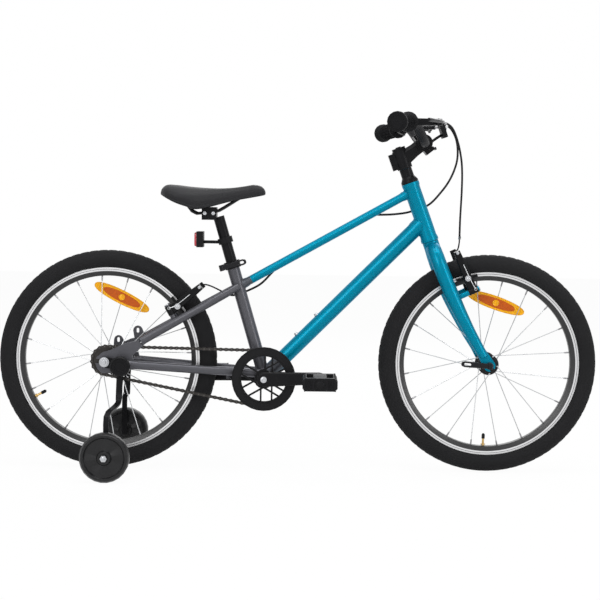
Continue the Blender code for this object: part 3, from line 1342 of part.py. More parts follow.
def crank_arm(side):
    """A crank arm with the pedal axle that is screwed into its end."""
    big, small = CRANK_ARM_BIG_RADIUS, CRANK_ARM_SMALL_RADIUS
    shares = (0.97, 0.8, 0.5)
    stations = [(-big * share, big * math.sqrt(1 - share**2)) for share in shares] + [(0, big)]
    stations += [(CRANK_LENGTH / 3, big - 0.001), (CRANK_LENGTH * 2 / 3, small + 0.001)]
    stations.append((CRANK_LENGTH, small))
    for share in reversed(shares):
        stations.append((CRANK_LENGTH + small * share, small * math.sqrt(1 - share**2)))
    points = []
    for along, _ in stations:
        share = min(max(along / CRANK_LENGTH, 0), 1)
        eased = share * share * (3 - 2 * share)
        points.append((along, 0, side * (CRANK_ARM_PLACE + (CRANK_ARM_END_PLACE - CRANK_ARM_PLACE) * eased)))
    sections = [slab(CRANK_ARM_THICKNESS, 2 * half, min(CRANK_ARM_CORNER, half / 2)) for _, half in stations]
    hole = cylinder(SPINDLE_END_RADIUS + GAP, -1, 1, 12)
    body = cut(shape(swept(points, sections, LEFT)), shape(hole))
    far = PEDAL_BODY_START + PEDAL_BODY_WIDTH - PEDAL_CAP_WALL - GAP
    low, high = sorted((side * CRANK_ARM_END_PLACE, side * far))
    axle = cylinder(PEDAL_AXLE_RADIUS, low, high, 14)
    body = join(body, shape(axle, Matrix.Translation((CRANK_LENGTH, 0, 0))))
    body.data.transform(crank_frame(side))
    return body


def pedal_centre(side):
    return crank_frame(side) @ Vector((CRANK_LENGTH, 0, 0))


def pedal(side):
    """A pedal with a window in front of its axle and one behind it."""
    low, high = sorted((side * PEDAL_BODY_START, side * (PEDAL_BODY_START + PEDAL_BODY_WIDTH)))
    body = shape(plate(slab(PEDAL_LENGTH, PEDAL_HEIGHT, PEDAL_CORNER), low, high))
    near, far = PEDAL_WINDOW
    cutters = []
    for x_low, x_high in ((near, far), (-far, -near)):
        corner = (x_low, -PEDAL_HEIGHT, low + PEDAL_WINDOW_END)
        cutters.append(shape(box(corner, (x_high, PEDAL_HEIGHT, high - PEDAL_WINDOW_END))))
    blind = PEDAL_BODY_START + PEDAL_BODY_WIDTH - PEDAL_CAP_WALL
    start, end = sorted((side * (PEDAL_BODY_START - 0.01), side * blind))
    cutters.append(shape(cylinder(PEDAL_AXLE_RADIUS + TURNING_GAP, start, end, 14)))
    body = cut(body, *cutters)
    body.data.transform(side_view(pedal_centre(side)))
    return body


def rear_sprocket():
    """The freewheel with its sprocket and its neck, in the rear wheel's own frame."""
    low, high = CHAIN_LINE - TOOTH_PLATE_THICKNESS / 2, CHAIN_LINE + TOOTH_PLATE_THICKNESS / 2
    bore = AXLE_RADIUS + TURNING_GAP
    body = toothed_ring(SPROCKET_PITCH_RADIUS, SPROCKET_TEETH, bore + GAP, low, high)
    half = FREEWHEEL_WIDTH / 2
    neck = pipe(FREEWHEEL_NECK_RADIUS, bore, REAR_HUB_DRIVE_END + TURNING_GAP, CHAIN_LINE, 20)
    return join(body, shape(neck), shape(pipe(FREEWHEEL_RADIUS, bore, CHAIN_LINE - half, CHAIN_LINE + half, 20)))


# The seat

def seat_clamp_collar():
    """The collar round the top of the seat tube, with its ears and the lever's bolt."""
    low, high = COLLAR_LOW, COLLAR_LOW + COLLAR_HEIGHT
    inner, wide = SEAT_TUBE_RADIUS + GAP, COLLAR_EAR_HALF_WIDTH
    ears = box((-COLLAR_EAR_REACH, -wide, low + 0.002), (0.002 - inner, wide, high - 0.002))
    body = join(shape(cylinder(inner + COLLAR_WALL, low, high)), shape(ears))
    slit = box((-2 * COLLAR_EAR_REACH, -COLLAR_SLIT / 2, 0), (0, COLLAR_SLIT / 2, 2 * high))
    body = cut(body, shape(cylinder(inner, 0, 2 * high)), shape(slit))
    bolt = Matrix.Translation((SEAT_LEVER_AHEAD, 0, (low + high) / 2)) @ Matrix.Rotation(math.pi / 2, 4, "X")
    bolt_end = SEAT_LEVER_SIDE - QUICK_LEVER_BARREL - GAP
    body = join(body, shape(cylinder(0.0028, -wide - 0.004, bolt_end, 12), bolt))
    body = join(body, shape(cylinder(0.0055, -wide - 0.006, 0.001 - wide, 6), bolt))
    body.data.transform(SEATING)
    return body


def seatpost():
    """The seat post with the clamp that holds the saddle's rails."""
    body = shape(cylinder(POST_RADIUS, POST_LOW, POST_HEAD), SEATING)
    (x_low, x_high), (z_low, z_high) = SADDLE_CLAMP_X, SADDLE_CLAMP_Z
    clamp = box((x_low, -SADDLE_CLAMP_HALF_WIDTH, z_low), (x_high, SADDLE_CLAMP_HALF_WIDTH, z_high))
    return cut(join(body, shape(clamp)), saddle_rails(GAP))


def saddle_rails(extra=0.0):
    """The bent rod under the saddle: two rails that meet at the nose."""
    right = [world(ahead, height, side) for ahead, side, height in RAIL_ROUTE]
    left = [Vector((point.x, -point.y, point.z)) for point in right]
    nose = world(RAIL_NOSE_X, right[-1].z + 0.0025)
    points = smooth_path(right + [nose] + left[::-1], 30)
    points[0] += (points[0] - points[1]).normalized() * extra
    points[-1] += (points[-1] - points[-2]).normalized() * extra
    return shape(swept(points, circle(RAIL_RADIUS + extra, 6), UP))


def saddle():
    """The saddle, lofted from tail to nose and hollow underneath."""
    stations = smooth_path(SADDLE_LINES, SADDLE_STATIONS)
    ring = list(SADDLE_SECTION) + [(-across, rise) for across, rise in reversed(SADDLE_SECTION[1:-1])]
    bm = bmesh.new()
    rings = []
    for share, top, under, half_width in stations:
        x = SADDLE_TAIL_X + SADDLE_LENGTH * share
        deep = top - under
        rings.append([bm.verts.new((x, half_width * across, under + deep * rise)) for across, rise in ring])
    for low, high in zip(rings, rings[1:]):
        for side in range(len(ring)):
            after = (side + 1) % len(ring)
            bm.faces.new((low[side], low[after], high[after], high[side]))
    bm.faces.new(rings[0])
    bm.faces.new(rings[-1])
    return cut(shape(bm), saddle_rails(GAP))


def rear_reflector():
    """The red reflector on its bracket, clamped round the seat post."""
    low, high = REAR_REFLECTOR_AT, REAR_REFLECTOR_AT + REFLECTOR_COLLAR_HEIGHT
    ring = shape(pipe(REFLECTOR_COLLAR_RADIUS, POST_RADIUS + GAP, low, high), SEATING)
    (x_low, x_high), (z_low, z_high) = REFLECTOR_X, REFLECTOR_Z
    lens = box((x_low, -REFLECTOR_HALF_WIDTH, z_low), (x_high, REFLECTOR_HALF_WIDTH, z_high))
    centre = SEATING @ Vector((-POST_RADIUS - GAP - 0.001, 0, (low + high) / 2))
    half, wide = REFLECTOR_ARM_THICKNESS / 2, REFLECTOR_ARM_HALF_WIDTH
    arm = box((x_high - 0.002, -wide, centre.z - half), (centre.x, wide, centre.z + half))
    return join(ring, shape(arm), shape(lens))


def quick_lever(length):
    """A quick-release lever: its pin is along Z and its blade along X, with a hole near the end."""
    height, half = QUICK_LEVER_HEIGHT, QUICK_LEVER_HEIGHT / 2
    steps = ((0, 0.8), (0.3, 0.85), (0.65, 0.98), (0.88, 0.98), (0.97, 0.7), (1, 0.35))
    points = [(length * share, 0, 0) for share, _ in steps]
    body = shape(swept(points, [slab(QUICK_LEVER_THICKNESS, height * size, 0.001) for _, size in steps], UP))
    body = join(body, shape(cylinder(QUICK_LEVER_BARREL, -half, half, 12)))
    hole = around([(length * 0.70, 0, QUICK_LEVER_HOLE), (length * 0.86, 0, QUICK_LEVER_HOLE)], 8)
    return cut(body, shape(plate(hole, -0.02, 0.02), Matrix.Rotation(math.pi / 2, 4, "X")))


# The stabilisers

def strut_points():
    """The centre line of the right-hand strut, from above its knob to its wheel bolt."""
    place = BRACKET_PLACE + BRACKET_THICKNESS + STRUT_THICKNESS / 2 - GAP
    points = [world(KNOB_X - 0.001, KNOB_Z + 0.013, place)]
    points += [world(ahead, height, place + aside) for ahead, height, aside in STRUT_ROUTE]
    last = place + STRUT_ROUTE[-1][2]
    points.append(world(STABILISER_X, STABILISER_CENTRE_Z - STRUT_WIDTH / 2, last))
    return points


def stabiliser_bracket():
    """A right-hand stabiliser: bracket plate, strut and the bolt that carries the wheel."""
    low, high = BRACKET_PLACE, BRACKET_PLACE + BRACKET_THICKNESS
    outline = around([(REAR_AXLE.x, REAR_AXLE.z, 0.012), (KNOB_X, KNOB_Z, 0.0125)])
    body = shape(plate(outline, low, high), side_view())
    neck = plate(around([(KNOB_X, KNOB_Z, 0.0085), BRACKET_FOOT]), low + GAP, high - GAP / 3)
    points = strut_points()
    route = points[:2] + smooth_path(points[1:-1], 11)[1:] + points[-1:]
    half, wide = STRUT_THICKNESS / 2, STRUT_WIDTH / 2
    strut = swept(route, [(half, -wide), (half, wide), (-half, wide), (-half, -wide)], FORWARD)
    start = -points[-1].y - STRUT_THICKNESS / 2
    face = STABILISER_PLACE + STABILISER_WIDTH / 2 + GAP
    bolt = [
        (0, start), (STABILISER_BOLT_RADIUS, start), (STABILISER_BOLT_RADIUS, face),
        (STABILISER_BOLT_HEAD, face), (STABILISER_BOLT_HEAD, face + 0.0035), (0, face + 0.0035),
    ]
    on_wheel = side_view(world(STABILISER_X, STABILISER_CENTRE_Z))
    body = join(body, shape(neck, side_view()), shape(strut), shape(turned(bolt, 12), on_wheel))
    axle_hole = shape(cylinder(AXLE_RADIUS + GAP, 0, 1), side_view(REAR_AXLE))
    knob_hole = shape(cylinder(KNOB_STUD_RADIUS + GAP, 0, 1, 14), side_view(world(KNOB_X, KNOB_Z)))
    return cut(body, axle_hole, knob_hole)


def stabiliser_knob():
    """A right-hand hand knob, whose stud goes through the strut and the bracket."""
    face = BRACKET_PLACE + BRACKET_THICKNESS + STRUT_THICKNESS
    outline = [
        (0, BRACKET_PLACE - 0.002), (KNOB_STUD_RADIUS, BRACKET_PLACE - 0.002), (KNOB_STUD_RADIUS, face),
        (KNOB_RADIUS - 0.004, face), (KNOB_RADIUS, face + 0.004), (KNOB_RADIUS, face + KNOB_HEIGHT - 0.003),
        (KNOB_RADIUS - 0.003, face + KNOB_HEIGHT), (0, face + KNOB_HEIGHT),
    ]
    return shape(turned(outline, 14), side_view(world(KNOB_X, KNOB_Z)))


def stabiliser_wheel():
    """A stabiliser wheel with raised blades on both faces, in its own frame."""
    half, radius = STABILISER_WIDTH / 2, STABILISER_RADIUS
    right = [
        (STABILISER_HUB_RADIUS, half), (STABILISER_HUB_RADIUS + 0.003, STABILISER_WEB),
        (STABILISER_LIP - 0.003, STABILISER_WEB), (STABILISER_LIP, half - 0.001),
        (radius - 0.004, half - 0.001),
        (radius, half - 0.006),
    ]
    bore = STABILISER_BOLT_RADIUS + TURNING_GAP
    outline = [(bore, -half)] + [(size, -place) for size, place in right]
    outline += [(size, place) for size, place in reversed(right)] + [(bore, half)]
    steps = STABILISER_STEPS
    bm = turned(outline, steps, math.pi / steps)
    per_blade = steps // STABILISER_BLADES
    for vert in bm.verts:
        if abs(abs(vert.co.z) - STABILISER_WEB) > GAP:
            continue
        step = round((math.atan2(vert.co.y, vert.co.x) - math.pi / steps) / (math.tau / steps))
        vert.co.z -= math.copysign(STABILISER_BLADE_RISE * (step % per_blade) / per_blade, vert.co.z)
    return shape(bm)


class Bench:
    """The pivots of the moving groups, and a way to hang finished pieces on them."""

    def __init__(self):
        self.pivots = {}
        self.places = {}

    def add_pivot(self, name, matrix, parent=None):
        """An empty on a joint's axis, hung on its parent's empty."""
        made = bpy.data.objects.new(name + "_pivot", None)
        made.empty_display_size = 0.03
        bpy.context.scene.collection.objects.link(made)
        made.matrix_basis = matrix
        if parent:
            made.parent = self.pivots[parent]
            made.matrix_basis = self.places[parent].inverted() @ matrix
        self.pivots[name] = made
        self.places[name] = matrix

    def finish(self, name, body, finish, group, place=None):
        """Names a body, gives it its material and hangs it on its group's pivot, where it is.
        A body that was made in a frame of its own is first moved to its place."""
        body.name = name
        body.data.name = name
        body.data.materials.clear()
        body.data.materials.append(finish)
        if place is not None:
            body.data.transform(place)
        body.data.transform(self.places[group].inverted())
        if body.type == "MESH":
            body.data.shade_smooth()
            body.data.set_sharp_from_angle(angle=math.radians(35))
        body.parent = self.pivots[group]


def add_pivots(bench):
    """One pivot for the frame and one on the axis of every joint."""
    bench.add_pivot("frame", Matrix.Identity(4))
    bench.add_pivot("seat", SEATING, "frame")
    lever_place = Matrix.Translation((SEAT_LEVER_AHEAD, -SEAT_LEVER_SIDE, COLLAR_LOW + COLLAR_HEIGHT / 2))
    bench.add_pivot("seat_clamp_lever", SEATING @ lever_place, "frame")
    bench.add_pivot("steering", STEERING, "frame")
    cam = FRONT_AXLE + (FORK_DROPOUT_OUTER + CAM_HEIGHT + 2 * GAP + QUICK_LEVER_BARREL) * RIGHT
    front_lever = frame_at(cam, UP, -FORWARD) @ Matrix.Rotation(-FRONT_LEVER_RISE, 4, "Y")
    bench.add_pivot("front_quick_release", front_lever, "steering")
    bench.add_pivot("front_wheel", side_view(FRONT_AXLE), "steering")
    bench.add_pivot("rear_wheel", side_view(REAR_AXLE), "frame")
    bench.add_pivot("sprocket", side_view(REAR_AXLE), "frame")
    bench.add_pivot("crankset", side_view(BRACKET), "frame")
    x, y, _ = PERCH_BODY[-1]
    for name, side in (("right", 1), ("left", -1)):
        bench.add_pivot("pedal_" + name, side_view(pedal_centre(side)), "crankset")
        hinge = lever_frame() @ Vector((x, y, 0))
        hinge.y *= side
        bench.add_pivot("brake_lever_" + name, frame_at(hinge, UP, FORWARD), "steering")
        wheel_centre = world(STABILISER_X, STABILISER_CENTRE_Z, side * STABILISER_PLACE)
        bench.add_pivot("stabiliser_wheel_" + name, side_view(wheel_centre), "frame")
        front_arm = front_brake_frame() @ Matrix.Translation((0, -side * PIVOT_SPREAD, 0))
        rear_arm = rear_brake_frame() @ Matrix.Translation((0, side * PIVOT_SPREAD, 0))
        bench.add_pivot("front_brake_arm_" + name, front_arm, "steering")
        bench.add_pivot("rear_brake_arm_" + name, rear_arm, "frame")


def build():
    for item in list(bpy.data.objects):
        bpy.data.objects.remove(item, do_unlink=True)

    teal = paint("teal_paint", (0.0, 0.26, 0.38), 0.28, 0.3)
    grey = paint("grey_paint", (0.09, 0.09, 0.10), 0.35, 0.3)
    black = paint("black_metal", (0.012, 0.012, 0.013), 0.4, 0.4)
    satin = paint("black_plastic", (0.014, 0.014, 0.015), 0.55)
    rubber = paint("rubber", (0.017, 0.017, 0.018), 0.8)
    steel = paint("steel", (0.55, 0.56, 0.57), 0.3, 1.0)
    silver = paint("silver_paint", (0.52, 0.52, 0.53), 0.35, 0.9)
    red = paint("red_lens", (0.45, 0.01, 0.01), 0.2)
    orange = paint("orange_lens", (0.8, 0.20, 0.01), 0.2)
    white = paint("white_lens", (0.75, 0.75, 0.78), 0.2)

    bench = Bench()
    add_pivots(bench)

    left_stay = join(mirrored(chain_stay()), *[mirrored(eye) for eye in disc_eyes()])
    left_stay = join(cut(left_stay, mirrored(seat_stay_sweep(GAP))), stand_bridge())
    top_bearing = HEAD_TUBE_LOW + HEAD_TUBE_LENGTH - BEARING_HEIGHT
    bench.finish("head_tube", head_tube(), teal, "frame")
    bench.finish("top_tube", top_tube(), teal, "frame")
    bench.finish("down_tube", down_tube(), teal, "frame")
    bench.finish("seat_tube", seat_tube(), grey, "frame")
    bench.finish("seat_stay_right", seat_stay(), grey, "frame")
    bench.finish("seat_stay_left", mirrored(seat_stay()), grey, "frame")
    bench.finish("chain_stay_right", chain_stay(), grey, "frame")
    bench.finish("chain_stay_left", left_stay, grey, "frame")
    bench.finish("headset_lower_bearing", bearing(HEAD_TUBE_LOW), steel, "frame")
    bench.finish("headset_upper_bearing", bearing(top_bearing), steel, "frame")
    bench.finish("bottom_bracket_cartridge", bottom_bracket_cartridge(), black, "frame")
    bench.finish("seat_clamp_collar", seat_clamp_collar(), black, "frame")
    bench.finish("chain", chain(), black, "frame")
    bench.finish("rear_axle", rear_axle(), steel, "frame")
    bench.finish("rear_brake_cable", housing(rear_housing_points()), satin, "frame")

    bench.finish("seatpost", seatpost(), black, "seat")
    bench.finish("saddle_rails", saddle_rails(), black, "seat")
    bench.finish("saddle", saddle(), satin, "seat")
    bench.finish("rear_reflector", rear_reflector(), red, "seat")
    group = "seat_clamp_lever"
    bench.finish(group, quick_lever(SEAT_LEVER_LENGTH), black, group, bench.places[group])

    bench.finish("fork", fork(), teal, "steering")
    bench.finish("headset_spacers", headset_spacers(), black, "steering")
    bench.finish("stem", stem(), black, "steering")
    bench.finish("stem_faceplate", stem_faceplate(), black, "steering")
    bench.finish("handlebar", handlebar(), black, "steering")
    bench.finish("front_reflector", front_reflector(), white, "steering")
    bench.finish("front_axle", front_axle(), steel, "steering")
    bench.finish("front_brake_cable", housing(front_housing_points()), satin, "steering")
    group = "front_quick_release"
    bench.finish(group + "_lever", quick_lever(FRONT_LEVER_LENGTH), black, group, bench.places[group])

    for name, side, place in (("right", 1, lambda body: body), ("left", -1, mirrored)):
        bench.finish("grip_" + name, place(grip()), rubber, "steering")
        bench.finish("brake_perch_" + name, place(brake_perch()), black, "steering")
        bench.finish("brake_lever_" + name, place(brake_lever()), black, "brake_lever_" + name)
        front_arm = brake_arm(front_brake_frame(), FRONT_AXLE, -side, FRONT_BOSS_LENGTH, *FRONT_ARM_SIZE)
        rear_arm = brake_arm(rear_brake_frame(), REAR_AXLE, side, REAR_BOSS_LENGTH, *REAR_ARM_SIZE)
        if side < 0:
            front_arm = join(front_arm, noodle(FRONT_HOUSING_END, FRONT_NOODLE_ROUTE))
            rear_arm = join(rear_arm, noodle(REAR_HOUSING_END, REAR_NOODLE_ROUTE))
        bench.finish("front_brake_arm_" + name, front_arm, black, "front_brake_arm_" + name)
        bench.finish("rear_brake_arm_" + name, rear_arm, black, "rear_brake_arm_" + name)
        bench.finish("crank_arm_" + name, crank_arm(side), black, "crankset")
        bench.finish("pedal_" + name, pedal(side), satin, "pedal_" + name)
        bench.finish("stabiliser_bracket_" + name, place(stabiliser_bracket()), black, "frame")
        bench.finish("stabiliser_knob_" + name, place(stabiliser_knob()), satin, "frame")
        group = "stabiliser_wheel_" + name
        bench.finish(group, stabiliser_wheel(), satin, group, bench.places[group])

    wheels = (
        ("front", FORK_DROPOUT_INNER, FRONT_SPOKE_TURN, FRONT_REFLECTOR_PLACE, FRONT_REFLECTOR_TILT),
        ("rear", REAR_DROPOUT_INNER, REAR_SPOKE_TURN, REAR_REFLECTOR_PLACE, REAR_REFLECTOR_TILT),
    )
    for name, dropout, turn, spot, tilt in wheels:
        group = name + "_wheel"
        place = bench.places[group]
        hub_end = dropout - GAP - CONE_LENGTH - TURNING_GAP
        drive_end = REAR_HUB_DRIVE_END if name == "rear" else hub_end
        bench.finish(name + "_tyre", tyre(), rubber, group, place)
        bench.finish(name + "_rim", rim(), silver, group, place)
        bench.finish(name + "_hub_and_spokes", hub(turn, hub_end, drive_end), steel, group, place)
        bench.finish(name + "_wheel_reflector", spoke_reflector(turn, spot, tilt), orange, group, place)

    bench.finish("rear_sprocket", rear_sprocket(), black, "sprocket", bench.places["sprocket"])
    bench.finish("crank_spindle", crank_spindle(), steel, "crankset")
    bench.finish("chainring", chainring(), black, "crankset")


build()
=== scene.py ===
"""A kids' bicycle with stabilisers: the finish of every surface and the fine pieces.

Metres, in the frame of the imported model: +X is forward, +Y is the rider's left and +Z is up.
"""

import json
import math

import bmesh
import bpy
from mathutils import Matrix, Vector


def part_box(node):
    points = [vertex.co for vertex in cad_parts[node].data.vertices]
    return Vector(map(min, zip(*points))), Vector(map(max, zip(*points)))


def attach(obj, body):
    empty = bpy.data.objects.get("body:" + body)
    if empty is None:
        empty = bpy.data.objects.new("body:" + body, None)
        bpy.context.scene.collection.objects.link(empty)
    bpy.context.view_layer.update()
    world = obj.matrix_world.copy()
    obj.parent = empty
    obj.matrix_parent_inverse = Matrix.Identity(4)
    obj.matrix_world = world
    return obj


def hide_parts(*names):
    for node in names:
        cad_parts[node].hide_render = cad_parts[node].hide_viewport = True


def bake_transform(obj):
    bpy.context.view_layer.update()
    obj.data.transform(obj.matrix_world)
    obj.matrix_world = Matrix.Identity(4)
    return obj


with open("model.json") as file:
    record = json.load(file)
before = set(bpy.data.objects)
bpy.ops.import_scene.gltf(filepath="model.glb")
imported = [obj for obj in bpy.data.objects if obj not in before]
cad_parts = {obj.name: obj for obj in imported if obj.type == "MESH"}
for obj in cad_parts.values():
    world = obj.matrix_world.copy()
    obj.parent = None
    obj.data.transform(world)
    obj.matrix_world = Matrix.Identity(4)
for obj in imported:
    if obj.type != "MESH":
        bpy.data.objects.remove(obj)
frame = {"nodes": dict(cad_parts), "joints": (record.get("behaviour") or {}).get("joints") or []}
nodes = frame["nodes"]
joints = {joint["name"]: joint for joint in frame["joints"]}
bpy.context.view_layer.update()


# The camera stands at the drive side, a little above the top tube, and is turned a touch
# anticlockwise, as in the photograph.
CAMERA_PLACE = Vector((0.0035, -3.44, 0.623))
CAMERA_AIM = Vector((0.0035, 0.0, 0.3926))
CAMERA_ROLL = math.radians(0.756)
SENSOR_MILLIMETRES = 36
LENS_MILLIMETRES = 89.6


def in_scene(name, data):
    """A new object in the scene, for a mesh, a lamp or the camera."""
    made = bpy.data.objects.new(name, data)
    bpy.context.scene.collection.objects.link(made)
    return made


def aimed(place, aim):
    """The matrix of a camera or a lamp that stands at a place and points at its aim."""
    turn = (Vector(aim) - Vector(place)).to_track_quat("-Z", "Y").to_matrix().to_4x4()
    return Matrix.Translation(place) @ turn


lens = bpy.data.cameras.new("camera")
lens.sensor_width = SENSOR_MILLIMETRES
lens.lens = LENS_MILLIMETRES
camera = in_scene("camera", lens)
camera.matrix_world = aimed(CAMERA_PLACE, CAMERA_AIM) @ Matrix.Rotation(CAMERA_ROLL, 4, "Z")
bpy.context.scene.camera = camera
bpy.context.scene.view_settings.view_transform = "Standard"


# The studio: a pale floor that keeps a soft shadow, a white surround, and broad soft lamps above
# the bike and in front of it.
WHITE = (1, 1, 1, 1)
PAPER = (0.9, 0.9, 0.9)
FLOOR_HALF_WIDTH = 9
FLOOR_HEIGHT = -0.0005
FLOOR_GLOW = 0.96
SURROUND_LEVEL = 0.36
LAMP_AIM = (0, 0, 0.4)
LAMPS = (
    ("overhead_lamp", (0.2, -0.5, 3.2), (3.2, 1.6), 62),
    ("front_lamp", (-1.6, -3.2, 1.9), (1.6, 2.0), 40),
    ("side_lamp", (2.6, -2.0, 1.5), (0.8, 2.2), 26),
    ("rear_lamp", (0.6, 2.8, 2.0), (2.0, 1.6), 24),
)


def feed(made, feeds):
    """Gives each named input of a shader node its value, or the socket that drives it."""
    for name, value in feeds.items():
        if isinstance(value, bpy.types.NodeSocket):
            made.id_data.links.new(value, made.inputs[name])
        else:
            made.inputs[name].default_value = value


def node(tree, kind, feeds=None, **settings):
    """A new shader node with its settings, and with what goes into its inputs."""
    made = tree.nodes.new(kind)
    for setting, value in settings.items():
        setattr(made, setting, value)
    feed(made, feeds or {})
    return made


def reckoned(tree, operation, *values, **settings):
    """What a Math node makes of its values, each a number or a socket."""
    feeds = dict(enumerate(values))
    return node(tree, "ShaderNodeMath", feeds, operation=operation, **settings).outputs[0]


def finish(name, colour, roughness, metallic=0.0):
    """A material with its Principled shader, for a section to add to."""
    made = bpy.data.materials.new(name)
    made.use_nodes = True
    shader = made.node_tree.nodes["Principled BSDF"]
    feed(shader, {"Base Color": (*colour, 1), "Roughness": roughness, "Metallic": metallic})
    return made, shader


def white_to_the_eye(tree):
    """One for the rays that show a background: those of the camera, of gloss and of glass."""
    rays = node(tree, "ShaderNodeLightPath").outputs
    shown = reckoned(tree, "ADD", rays["Is Camera Ray"], rays["Is Glossy Ray"])
    return reckoned(tree, "ADD", shown, rays["Is Transmission Ray"], use_clamp=True)


paper, shader = finish("studio_paper", PAPER, 0.8)
tree = paper.node_tree
glow = node(tree, "ShaderNodeEmission", {"Color": WHITE})
share = reckoned(tree, "MULTIPLY", white_to_the_eye(tree), FLOOR_GLOW)
both = node(tree, "ShaderNodeMixShader", {0: share, 1: shader.outputs[0], 2: glow.outputs[0]})
feed(tree.nodes["Material Output"], {"Surface": both.outputs[0]})

signs = ((-1, -1), (1, -1), (1, 1), (-1, 1))
corners = [(x * FLOOR_HALF_WIDTH, y * FLOOR_HALF_WIDTH, FLOOR_HEIGHT) for x, y in signs]
sheet = bpy.data.meshes.new("floor")
sheet.from_pydata(corners, [], [(0, 1, 2, 3)])
sheet.materials.append(paper)
in_scene("floor", sheet)

surround = bpy.data.worlds.new("surround")
bpy.context.scene.world = surround
surround.use_nodes = True
tree = surround.node_tree
level = reckoned(tree, "MAXIMUM", white_to_the_eye(tree), SURROUND_LEVEL)
feed(tree.nodes["Background"], {"Color": WHITE, "Strength": level})

for name, place, size, watts in LAMPS:
    light = bpy.data.lights.new(name, "AREA")
    light.shape = "RECTANGLE"
    light.size, light.size_y = size
    light.energy = watts
    in_scene(name, light).matrix_world = aimed(place, LAMP_AIM)


# The two tyres: black rubber on a wire bead, with small tread blocks in rows and a plain side wall.
# Each is moulded in one piece and stays on the rim by its air.
AXLES = {end: Vector(joints[end + "_wheel_turn"]["pos_m"]) for end in ("front", "rear")}
TREAD_RADIUS = 0.2513
TYRE_MIDDLE_RADIUS = 0.2268
TYRE_HALF_WIDTH = 0.0245
TYRE_WALL_TURN = math.radians(125)
TYRE_WALL_STEPS = 13
TYRE_BEAD = ((0.2168, 0.0195), (0.2138, 0.0158), (0.2122, 0.0120))
TREAD_STEPS = 360
TREAD_ROWS_EACH_SIDE = 6
TREAD_BLOCK_STEPS = 5
TREAD_DEPTH = 0.0013

SHINE = 0.5
SHINE_OF_BLACK = 0.1
BLACK_BELOW = 0.1
ROUGHNESS_SPREAD = 0.12
LEAST_ROUGHNESS = 0.05


def node_group(name, inputs, outputs):
    """A new shader group with these sockets, then the sockets that come into it and its output node."""
    group = bpy.data.node_groups.new(name, "ShaderNodeTree")
    for in_out, sockets in (("INPUT", inputs), ("OUTPUT", outputs)):
        for label in sockets:
            kind = "NodeSocketColor" if label in ("Colour", "Shade") else "NodeSocketFloat"
            group.interface.new_socket(name=label, in_out=in_out, socket_type=kind)
    return group, node(group, "NodeGroupInput").outputs, node(group, "NodeGroupOutput")


def object_place(tree):
    """Where a point is on its object, in metres."""
    return node(tree, "ShaderNodeTexCoord").outputs["Object"]


def scaled(tree, colour, share):
    """A colour made lighter or darker by a share."""
    return node(tree, "ShaderNodeVectorMath", {0: colour, "Scale": share}, operation="SCALE").outputs[0]


def ranged(tree, value, low, high):
    """A value from nought to one, spread from low to high."""
    return node(tree, "ShaderNodeMapRange", {"Value": value, "To Min": low, "To Max": high}).outputs[0]


def mixed(tree, share, first, second):
    """The first colour, and the second where the share is one."""
    feeds = {"Factor": share, "A": (*first, 1), "B": (*second, 1)}
    return node(tree, "ShaderNodeMix", feeds, data_type="RGBA").outputs["Result"]


def relief(shader, height, strength, distance):
    """Fine relief on a shader, from a height that changes over the surface."""
    feeds = {"Height": height, "Strength": strength, "Distance": distance}
    feed(shader, {"Normal": node(shader.id_data, "ShaderNodeBump", feeds).outputs["Normal"]})


def grain_group():
    """A node group for moulded and cast surfaces: fine grain for the Height of a Bump node, and a
    soft, cloudy change of shade."""
    inputs = ("Grain Size", "Cloud Size", "Cloud Depth", "Shade")
    group, given, result = node_group("surface_grain", inputs, ("Colour", "Height", "Cloud"))
    place = object_place(group)
    noise = {}
    for label, detail in (("Grain Size", 3), ("Cloud Size", 4)):
        per_metre = reckoned(group, "DIVIDE", 1, given[label])
        feeds = {"Vector": place, "Scale": per_metre, "Detail": detail}
        noise[label] = node(group, "ShaderNodeTexNoise", feeds).outputs[0]
    cloud = noise["Cloud Size"]
    off_middle = reckoned(group, "SUBTRACT", cloud, 0.5)
    depth = reckoned(group, "MULTIPLY_ADD", off_middle, given["Cloud Depth"], 1)
    colour = scaled(group, given["Shade"], depth)
    feed(result, {"Colour": colour, "Height": noise["Grain Size"], "Cloud": cloud})
    return group


surface_grain = grain_group()


def grain_of(tree, colour, grain, cloud, depth):
    """The outputs of the grain group in a material, where it has the material's own values."""
    feeds = {"Grain Size": grain, "Cloud Size": cloud, "Cloud Depth": depth, "Shade": (*colour, 1)}
    return node(tree, "ShaderNodeGroup", feeds, node_tree=surface_grain).outputs


def grained(name, colour, roughness, grain, cloud, depth, bump, metallic=0.0):
    """A material whose grain, cloudiness and roughness all come from the grain group."""
    made, shader = finish(name, colour, roughness, metallic)
    tree = made.node_tree
    surface = grain_of(tree, colour, grain, cloud, depth)
    low = max(roughness - ROUGHNESS_SPREAD, LEAST_ROUGHNESS)
    high = min(roughness + ROUGHNESS_SPREAD, 1)
    feed(shader, {
        "Base Color": surface["Colour"],
        "Roughness": ranged(tree, surface["Cloud"], low, high),
        "Specular IOR Level": SHINE if max(colour) > BLACK_BELOW else SHINE_OF_BLACK,
    })
    relief(shader, surface["Height"], bump, grain / 2)
    return made


def shaped(name, bm, material, body, *stands_for, angle=32):
    """A piece from a bmesh, smooth but for its edges. It rides on a body, where one is named."""
    bmesh.ops.recalc_face_normals(bm, faces=bm.faces)
    mesh = bpy.data.meshes.new(name)
    bm.to_mesh(mesh)
    bm.free()
    mesh.materials.append(material)
    mesh.shade_smooth()
    mesh.set_sharp_from_angle(angle=math.radians(angle))
    made = in_scene(name, mesh)
    if body:
        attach(made, body)
    if stands_for:
        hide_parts(*stands_for)
    return made


